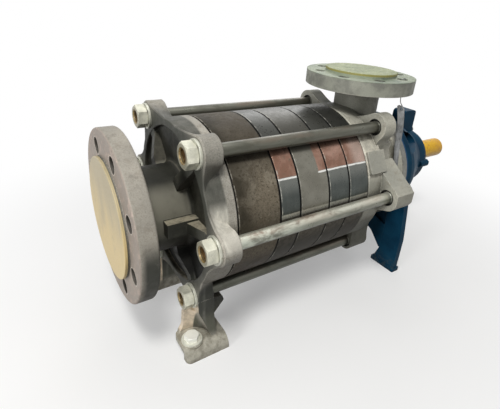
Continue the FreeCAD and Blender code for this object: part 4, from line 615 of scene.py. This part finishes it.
def plated_nut(name):
    """Zinc plated nut: pale flats with specks of dirt, painted shade in its corners and thread grooves, and a
    brassy threaded bore.
    """
    r = Recipe(name, metal=0.35, specular=0.4)
    cloud = r.noise(12.0, 4.0, 0.6)
    speck = r.noise(3.0, 5.0, 0.7, shift=6.0)
    tone = r.mix(r.fade(cloud, 0.34, 0.66), (0.52, 0.515, 0.42), (0.74, 0.73, 0.61))
    tone = r.over(tone, (0.22, 0.20, 0.13), r.fade(speck, 0.54, 0.74, 0.0, 0.6))
    front = r.fade(r.facing(x=-1.0), 0.80, 0.95)
    tone = r.over(tone, (0.27, 0.245, 0.165), front, r.fade(cloud, 0.25, 0.6, 0.35, 0.75))
    bore = r.fade(rod_distance(r), 0.0112, 0.0100)
    brass = r.mix(r.fade(speck, 0.35, 0.62), (0.36, 0.26, 0.105), (0.13, 0.085, 0.030))
    tone = r.over(tone, brass, bore)
    half_pitch = 0.00125
    thread = r.math("MULTIPLY", r.math("PINGPONG", r.x, half_pitch), 1.0 / half_pitch)
    r.bump(r.math("MULTIPLY", thread, bore), 1.2, 0.9)
    # Painted shade in the thread grooves
    tone = r.over(tone, (0.045, 0.028, 0.010), bore, r.fade(thread, 0.55, 0.25))
    tone = r.over(tone, (0.70, 0.70, 0.60), r.edges(0.9), 0.40)
    # Painted shade in corners and gaps
    tone = r.over(tone, (0.045, 0.040, 0.026), r.crevices(7.0), 0.7)
    r.soften(0.6)
    r.bump(speck, 0.05, 0.4)
    return r.done(tone, rough=r.fade(cloud, 0.3, 0.7, 0.34, 0.50))


def blue_paint(name):
    """Deep blue enamel over a casting: orange peel, paler worn edges, painted shade in corners, a few chips.
    """
    r = Recipe(name, specular=0.05)
    cloud = r.noise(45.0, 4.0, 0.55)
    peel = r.noise(2.6, 2.0, 0.5, shift=2.0)
    under = r.noise(9.0, 4.0, 0.6, shift=5.0)
    chips = r.noise(7.0, 5.0, 0.7, shift=11.0)
    rim = r.edges(1.5)
    tone = r.mix(r.fade(cloud, 0.32, 0.70), (0.003, 0.030, 0.064), (0.006, 0.052, 0.100))
    tone = r.over(tone, (0.012, 0.075, 0.125), r.fade(under, 0.55, 0.75, 0.0, 0.35))
    # Painted shade in corners and gaps
    tone = r.over(tone, (0.002, 0.010, 0.022), r.crevices(30.0), 0.7)
    ledge = r.both(r.fade(r.x, bracket_ledge_end, bracket_ledge_end - 0.001),
                   r.fade(r.distance(y=0.0, z=0.0), 0.090, 0.096))
    tone = r.over(tone, (0.045, 0.110, 0.215), ledge, 0.65)
    tone = r.over(tone, (0.075, 0.085, 0.080), r.fade(r.z, -0.16, -0.20), r.fade(chips, 0.45, 0.65, 0.0, 0.6))
    tone = r.over(tone, (0.040, 0.120, 0.180), rim, 0.30)
    tone = r.over(tone, (0.22, 0.23, 0.22), r.fade(chips, 0.63, 0.67), r.math("ADD", rim, 0.05))
    r.soften(1.4)
    r.bump(peel, 0.10, 0.22)
    r.bump(under, 0.6, 0.22)
    return r.done(tone, rough=r.fade(cloud, 0.3, 0.7, 0.40, 0.52))


def coated_shaft(name):
    """Ground steel shaft whose drive end is dipped in yellow wax, scuffed at its edges."""
    r = Recipe(name, specular=0.3)
    waver = r.noise(9.0, 4.0, 0.6)
    scuff = r.noise(7.0, 5.0, 0.68, shift=4.0, twist=0.8)
    fine = r.noise(0.6, 2.0, 0.6, vector=r.scaled(1.0, 0.02, 0.02))
    wax = r.fade(r.wavy(r.x, waver, 0.008), wax_start, wax_start + 0.001)
    steel = r.mix(r.fade(waver, 0.35, 0.7), (0.34, 0.34, 0.33), (0.52, 0.52, 0.51))
    yellow = r.mix(r.fade(scuff, 0.34, 0.60), (0.93, 0.56, 0.012), (0.84, 0.44, 0.008))
    yellow = r.over(yellow, (0.36, 0.22, 0.045), r.fade(scuff, 0.58, 0.68, 0.0, 0.7))
    yellow = r.over(yellow, (0.70, 0.36, 0.07), r.fade(r.x, 0.690, 0.724), 0.5)
    yellow = r.over(yellow, (0.34, 0.31, 0.24), r.fade(scuff, 0.60, 0.68), r.math("ADD", r.edges(2.0), 0.25))
    r.soften(0.8)
    r.bump(fine, 0.015, 0.4)
    r.bump(waver, 0.5, 0.25)
    return r.done(r.mix(wax, steel, yellow), rough=r.fade(wax, 0.0, 1.0, 0.24, 0.34),
                  metal=r.math("SUBTRACT", 1.0, wax))


def suction_film(name):
    """Pressed yellowish cover disc: satin, olive grey at the top, golden below, bright rim, painted shade in
    corners.
    """
    r = Recipe(name, specular=0.35)
    cloud = r.noise(60.0, 4.0, 0.5, vector=r.scaled(1.0, 1.6, 0.6), twist=0.3)
    blotch = r.noise(13.0, 5.0, 0.68, shift=5.0)
    speck = r.noise(2.2, 4.0, 0.75, shift=2.0)
    tone = r.mix(r.fade(r.wavy(r.z, cloud, 0.10), 0.075, -0.045), (0.47, 0.40, 0.255), (0.72, 0.56, 0.275))
    tone = r.over(tone, (0.44, 0.36, 0.215), r.fade(cloud, 0.54, 0.68, 0.0, 0.45))
    tone = r.over(tone, (0.40, 0.32, 0.175), r.fade(blotch, 0.55, 0.72, 0.0, 0.30))
    tone = r.over(tone, (0.36, 0.28, 0.15), r.fade(speck, 0.58, 0.74, 0.0, 0.35))
    tone = r.over(tone, (0.86, 0.72, 0.34), r.edges(1.6), 0.85)
    # Painted shade in corners and gaps
    tone = r.over(tone, (0.06, 0.05, 0.03), r.crevices(8.0), 0.6)
    r.soften(0.6)
    r.bump(cloud, 1.2, 0.25)
    r.bump(speck, 0.12, 0.4)
    return r.done(tone, rough=r.fade(speck, 0.4, 0.7, 0.38, 0.55))


def discharge_film(name):
    """Pressed green cover disc: strongly mottled with dark olive dirt, its rim a darker yellow."""
    r = Recipe(name, specular=0.30)
    blotch = r.noise(9.0, 5.0, 0.68, vector=r.scaled(0.7, 1.3, 1.0), shift=5.0, twist=0.8)
    speck = r.noise(2.6, 4.0, 0.75, shift=2.0)
    cloud = r.noise(40.0, 3.0, 0.5, shift=9.0)
    tone = r.mix(r.fade(cloud, 0.35, 0.65), (0.165, 0.200, 0.080), (0.285, 0.320, 0.145))
    tone = r.over(tone, (0.095, 0.120, 0.040), r.fade(blotch, 0.50, 0.62, 0.0, 0.80))
    tone = r.over(tone, (0.46, 0.49, 0.27), r.fade(blotch, 0.43, 0.34, 0.0, 0.65))
    tone = r.over(tone, (0.110, 0.115, 0.040), r.fade(speck, 0.54, 0.70, 0.0, 0.60))
    tone = r.over(tone, (0.30, 0.27, 0.085), r.fade(r.facing(z=1.0), 0.80, 0.50), 0.85)
    tone = r.over(tone, (0.66, 0.64, 0.36), r.edges(1.2), 0.45)
    # Painted shade in corners and gaps
    tone = r.over(tone, (0.05, 0.05, 0.025), r.crevices(8.0), 0.7)
    r.soften(0.6)
    r.bump(blotch, 0.5, 0.3)
    r.bump(speck, 0.15, 0.5)
    return r.done(tone, rough=r.fade(speck, 0.4, 0.7, 0.45, 0.62))


def rubber(name, tone):
    """Dark matt surface with fine grain and a little grey dust."""
    r = Recipe(name)
    fine = r.noise(1.4, 3.0, 0.6)
    dust = r.noise(11.0, 4.0, 0.6, shift=2.0)
    r.soften(0.4)
    r.bump(fine, 0.05, 0.4)
    return r.done(r.mix(r.fade(dust, 0.5, 0.75, 0.0, 0.5), tone, (0.07, 0.068, 0.062)),
                  rough=r.fade(dust, 0.4, 0.7, 0.5, 0.7))


# Finishes by material slot, and finishes of single nodes that go before them

def span_of(name):
    """Start and end of a node along the shaft in metres, without the spigot at its front."""
    low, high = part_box(name)
    return low[0] + ring_spigot, high[0]


finishes = {
    "cast_steel_warm": suction_casting("cast_steel_warm"),
    "cast_steel_pale": discharge_casting("cast_steel_pale"),
    "cast_steel_grey": plain_casting("cast_steel_grey", (0.30, 0.295, 0.265), seed=40.0, metal=0.3),
    "zinc_rod": zinc_rod("zinc_rod"),
    "zinc_plated": plain_metal("zinc_plated", (0.66, 0.66, 0.57), (0.46, 0.46, 0.38), rough=(0.32, 0.48),
                               seed=1.0, metal=0.4, stain=(0.33, 0.28, 0.18)),
    "satin_steel": plain_metal("satin_steel", (0.42, 0.41, 0.38), (0.32, 0.31, 0.28), rough=(0.26, 0.40),
                               seed=30.0),
    "bearing_steel": plain_metal("bearing_steel", (0.60, 0.60, 0.60), (0.48, 0.48, 0.48), rough=(0.08, 0.16),
                                 seed=2.0),
    "bronze": plain_metal("bronze", (0.56, 0.38, 0.17), (0.34, 0.21, 0.09), rough=(0.28, 0.45), seed=3.0,
                          stain=(0.16, 0.12, 0.07)),
    "carbon": rubber("carbon", (0.025, 0.025, 0.027)),
    "seal_ceramic": plain_metal("seal_ceramic", (0.66, 0.63, 0.56), (0.58, 0.55, 0.48), rough=(0.2, 0.3),
                                metal=0.0),
    "black_rubber": rubber("black_rubber", (0.018, 0.018, 0.019)),
    "blue_paint": blue_paint("blue_paint"),
    "coated_shaft": coated_shaft("coated_shaft"),
    "yellow_cover": suction_film("yellow_cover"),
}
own_finishes = {
    "tie_rod_nuts": plated_nut("plated_nut"),
    "foot_washers": plain_metal("pale_zinc", (0.78, 0.78, 0.68), (0.56, 0.56, 0.47), rough=(0.36, 0.50),
                                seed=12.0, metal=0.2, stain=(0.30, 0.27, 0.20)),
    "foot_bolts": plain_metal("bright_zinc", (0.94, 0.94, 0.86), (0.84, 0.84, 0.75), rough=(0.36, 0.50),
                              seed=8.0, metal=0.15),
    "inlet_stage_casing": inlet_ring("brown_casting", span_of("inlet_stage_casing")),
    "discharge_flange_cover": discharge_film("green_cover"),
}
turned_rings = ("stage_1_suction_plate", "stage_1_discharge_plate", "stage_2_suction_plate",
                "stage_2_discharge_plate")
seed_step = 11.0
for number, name in enumerate(turned_rings):
    span = span_of(name)
    reflection_start = span[1] - reflection_patch_width if name == "stage_1_discharge_plate" else None
    own_finishes[name] = turned_ring(name, span, seed_step * number, reflection_start)

slots = {entry["node"]: entry["material_slot"] for entry in frame["record"]["subparts"]}
for name, node in nodes.items():
    node.data.materials.clear()
    node.data.materials.append(own_finishes.get(name) or finishes[slots[name]])


# Bare metal tag that hangs by a wire from a bolt hole of the discharge flange

def tag_skin():
    """Dull sheet metal: faint rolling marks, oily smears and small dents."""
    r = Recipe("tag_metal", metal=0.55, specular=0.4)
    lay = r.noise(1.2, 3.0, 0.6, vector=r.scaled(1.0, 1.0, 0.06))
    smear = r.noise(11.0, 4.0, 0.6, shift=3.0)
    speck = r.noise(2.0, 4.0, 0.7, shift=6.0)
    tone = r.mix(r.fade(smear, 0.35, 0.65), (0.105, 0.108, 0.108), (0.27, 0.275, 0.275))
    tone = r.over(tone, (0.36, 0.365, 0.365), r.fade(lay, 0.35, 0.7, 0.0, 0.40))
    tone = r.over(tone, (0.14, 0.13, 0.10), r.fade(speck, 0.58, 0.72, 0.0, 0.55))
    r.bump(smear, 0.5, 0.35)
    r.bump(lay, 0.03, 0.5)
    return r.done(tone, rough=r.fade(smear, 0.3, 0.7, 0.40, 0.55))


def piece_of(name, mesh, material):
    """Smooth-shaded object with this mesh and material, in the scene."""
    piece = bpy.data.objects.new(name, mesh)
    scene.collection.objects.link(piece)
    mesh.materials.clear()
    mesh.materials.append(material)
    for face in mesh.polygons:
        face.use_smooth = True
    return piece


def along(points, part):
    """Point at a fraction of the way along a bent line of points."""
    place = part * (len(points) - 1)
    index = min(int(place), len(points) - 2)
    return points[index].lerp(points[index + 1], place - index)


def tag_strip(material):
    """Thin strip with rounded ends and a hole, slightly curled over its length."""
    left = [Vector(p) for p in ((0.4462, -0.0752, 0.1370), (0.4466, -0.0834, 0.0970),
                                (0.4472, -0.0909, 0.0565), (0.4478, -0.0965, 0.0150))]
    right = [Vector(p) for p in ((0.4565, -0.0832, 0.1330), (0.4558, -0.0901, 0.0950),
                                 (0.4548, -0.0964, 0.0560), (0.4538, -0.1006, 0.0160))]
    outward = Vector((0.6, -0.8, 0.0))
    rows, columns = 48, 9
    hole_row, hole_column, hole_size = 0.045, 0.5, 0.0018
    curl_depth, curl_turn, hollow, end_part = 0.0012, 7.0, 0.0010, 0.03
    shape = bmesh.new()
    grid = []
    for row in range(rows + 1):
        part = row / rows
        start, end = along(left, part), along(right, part)
        end_round = 1.0 - 0.5 * max(0.0, 1.0 - min(part, 1.0 - part) / end_part) ** 2
        middle = (start + end) / 2.0
        curl = math.sin(part * curl_turn) * curl_depth
        line = []
        for column in range(columns + 1):
            across = column / columns * 2.0 - 1.0
            point = middle + (end - start) * 0.5 * across * end_round
            point += outward * (curl - hollow * across * across)
            line.append(shape.verts.new(point))
        grid.append(line)
    length = (left[0] - left[-1]).length
    width = (right[0] - left[0]).length
    for row in range(rows):
        for column in range(columns):
            down = ((row + 0.5) / rows - hole_row) * length
            over = ((column + 0.5) / columns - hole_column) * width
            if math.hypot(down, over) > hole_size:
                shape.faces.new((grid[row][column], grid[row][column + 1],
                                 grid[row + 1][column + 1], grid[row + 1][column]))
    mesh = bpy.data.meshes.new("tag_strip")
    shape.to_mesh(mesh)
    shape.free()
    strip = piece_of("tag_strip", mesh, material)
    solid = strip.modifiers.new("thickness", "SOLIDIFY")
    solid.thickness = 0.0006
    solid.offset = 0.0
    return strip


def tag_wire(material):
    """Wire from the tag's hole up through the flange's bolt hole, bent over on top."""
    wire_radius = 0.0007
    path = ((0.4518, -0.0782, 0.1285), (0.4530, -0.0825, 0.1290), (0.4538, -0.0802, 0.1330),
            (0.4520, -0.0755, 0.1400), (0.4550, -0.0715, 0.1480), (0.4548, -0.0680, 0.1600),
            (0.4550, -0.0670, 0.1720), (0.4560, -0.0680, 0.1765), (0.4605, -0.0705, 0.1762))
    curve = bpy.data.curves.new("tag_wire", "CURVE")
    curve.dimensions = "3D"
    line = curve.splines.new("BEZIER")
    line.bezier_points.add(len(path) - 1)
    for knot, place in zip(line.bezier_points, path):
        knot.co = place
        knot.handle_left_type = knot.handle_right_type = "AUTO"
    curve.bevel_depth = wire_radius
    curve.bevel_resolution = 3
    curve.resolution_u = 8
    made = bpy.data.objects.new("made", curve)
    scene.collection.objects.link(made)
    mesh = bpy.data.meshes.new_from_object(made.evaluated_get(bpy.context.evaluated_depsgraph_get()))
    bpy.data.objects.remove(made)
    return piece_of("tag_wire", mesh, material)


tag_metal = tag_skin()
for piece in (tag_strip(tag_metal), tag_wire(tag_metal)):
    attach(piece, "pump_casing")


# Camera: the photograph's place, direction and lens

def aimed_camera():
    """Camera whose place and three angles, in metres and radians, make up its whole matrix."""
    place = Vector((-0.09499, -0.47281, 0.27195))
    yaw, pitch, roll = 0.6511, -0.4533, 0.0920
    forward = Vector((math.sin(yaw) * math.cos(pitch), math.cos(yaw) * math.cos(pitch), math.sin(pitch)))
    level = Vector((math.cos(yaw), -math.sin(yaw), 0.0))
    upright = level.cross(forward)
    right = level * math.cos(roll) + upright * math.sin(roll)
    up = upright * math.cos(roll) - level * math.sin(roll)
    data = bpy.data.cameras.new("camera")
    camera = bpy.data.objects.new("camera", data)
    scene.collection.objects.link(camera)
    camera.matrix_world = Matrix((
        (right.x, up.x, -forward.x, place.x), (right.y, up.y, -forward.y, place.y),
        (right.z, up.z, -forward.z, place.z), (0.0, 0.0, 0.0, 1.0)))
    data.sensor_width = 36.0
    data.lens = 27.854
    data.shift_x = -0.0489
    data.shift_y = -0.0275
    data.clip_start = 0.01
    scene.camera = camera


aimed_camera()


# Floor, light and background

def shown(tree):
    """1 for rays that show a surface to the camera, in a mirror or through glass, 0 for its light."""
    path = tree.nodes.new("ShaderNodeLightPath")
    value = path.outputs["Is Camera Ray"]
    for ray in ("Is Glossy Ray", "Is Transmission Ray"):
        most = tree.nodes.new("ShaderNodeMath")
        most.operation = "MAXIMUM"
        tree.links.new(value, most.inputs[0])
        tree.links.new(path.outputs[ray], most.inputs[1])
        value = most.outputs[0]
    return value


def pale_floor():
    """Pale floor that keeps the shadow near the pump and fades into the white background."""
    mesh = bpy.data.meshes.new("floor")
    reach = 6.0
    corners = [(x, y, sole_level) for x, y in ((-reach, -reach), (reach, -reach),
                                               (reach, reach), (-reach, reach))]
    mesh.from_pydata(corners, [], [(0, 1, 2, 3)])
    floor = bpy.data.objects.new("floor", mesh)
    scene.collection.objects.link(floor)
    r = Recipe("floor", rough=0.85, specular=0.10)
    tone = r.mix(r.fade(r.noise(400.0, 3.0, 0.5), 0.3, 0.7), (0.90, 0.90, 0.895), (0.93, 0.93, 0.925))
    r.bump(r.noise(3.0, 2.0, 0.5), 0.05, 0.2)
    away = r.fade(r.distance(x=shadow_middle, y=0.0), 0.22, 0.85, 0.30, 1.0)
    white = r.add("ShaderNodeEmission")
    blend = r.add("ShaderNodeMixShader")
    seen = shown(r.tree)
    mesh.materials.append(r.done(r.mix(seen, (0.30, 0.30, 0.295), tone)))
    r.feed(r.math("MULTIPLY", away, seen), blend.inputs[0])
    r.tree.links.new(r.shader.outputs[0], blend.inputs[1])
    r.tree.links.new(white.outputs[0], blend.inputs[2])
    r.tree.links.new(blend.outputs[0], r.tree.nodes["Material Output"].inputs["Surface"])


def lamp(name, place, target, size, power, color=(1.0, 1.0, 1.0)):
    """Soft rectangular lamp that points at its target; its power is in watts."""
    data = bpy.data.lights.new(name, "AREA")
    data.shape = "RECTANGLE"
    data.size, data.size_y = size
    data.energy = power
    data.color = color
    light = bpy.data.objects.new(name, data)
    scene.collection.objects.link(light)
    light.location = place
    light.rotation_euler = (Vector(target) - Vector(place)).to_track_quat("-Z", "Y").to_euler()


def studio():
    """White surroundings that give little light of their own, and four soft lamps."""
    surround_light, surround_shown = 0.15, 1.0
    world = bpy.data.worlds.new("studio")
    scene.world = world
    world.use_nodes = True
    tree = world.node_tree
    background = tree.nodes["Background"]
    level = tree.nodes.new("ShaderNodeMix")
    level.data_type = "FLOAT"
    level.inputs[2].default_value = surround_light
    level.inputs[3].default_value = surround_shown
    tree.links.new(shown(tree), level.inputs[0])
    tree.links.new(level.outputs[0], background.inputs["Strength"])
    background.inputs["Color"].default_value = (1.0, 1.0, 1.0, 1.0)
    lamp("key", (-0.35, -0.75, 1.55), (0.25, 0.0, 0.0), (0.35, 0.35), 21.0, (1.0, 0.99, 0.965))
    lamp("top", (0.5, 0.1, 1.5), (0.3, 0.0, 0.0), (1.2, 0.4), 3.0)
    lamp("side", (-1.5, -0.55, 0.45), (0.0, 0.0, -0.05), (0.5, 0.6), 14.0)
    lamp("rear", (1.4, 1.2, 1.0), (0.3, 0.0, 0.0), (1.0, 1.0), 6.0)


pale_floor()
studio()
scene.view_settings.view_transform = "Standard"
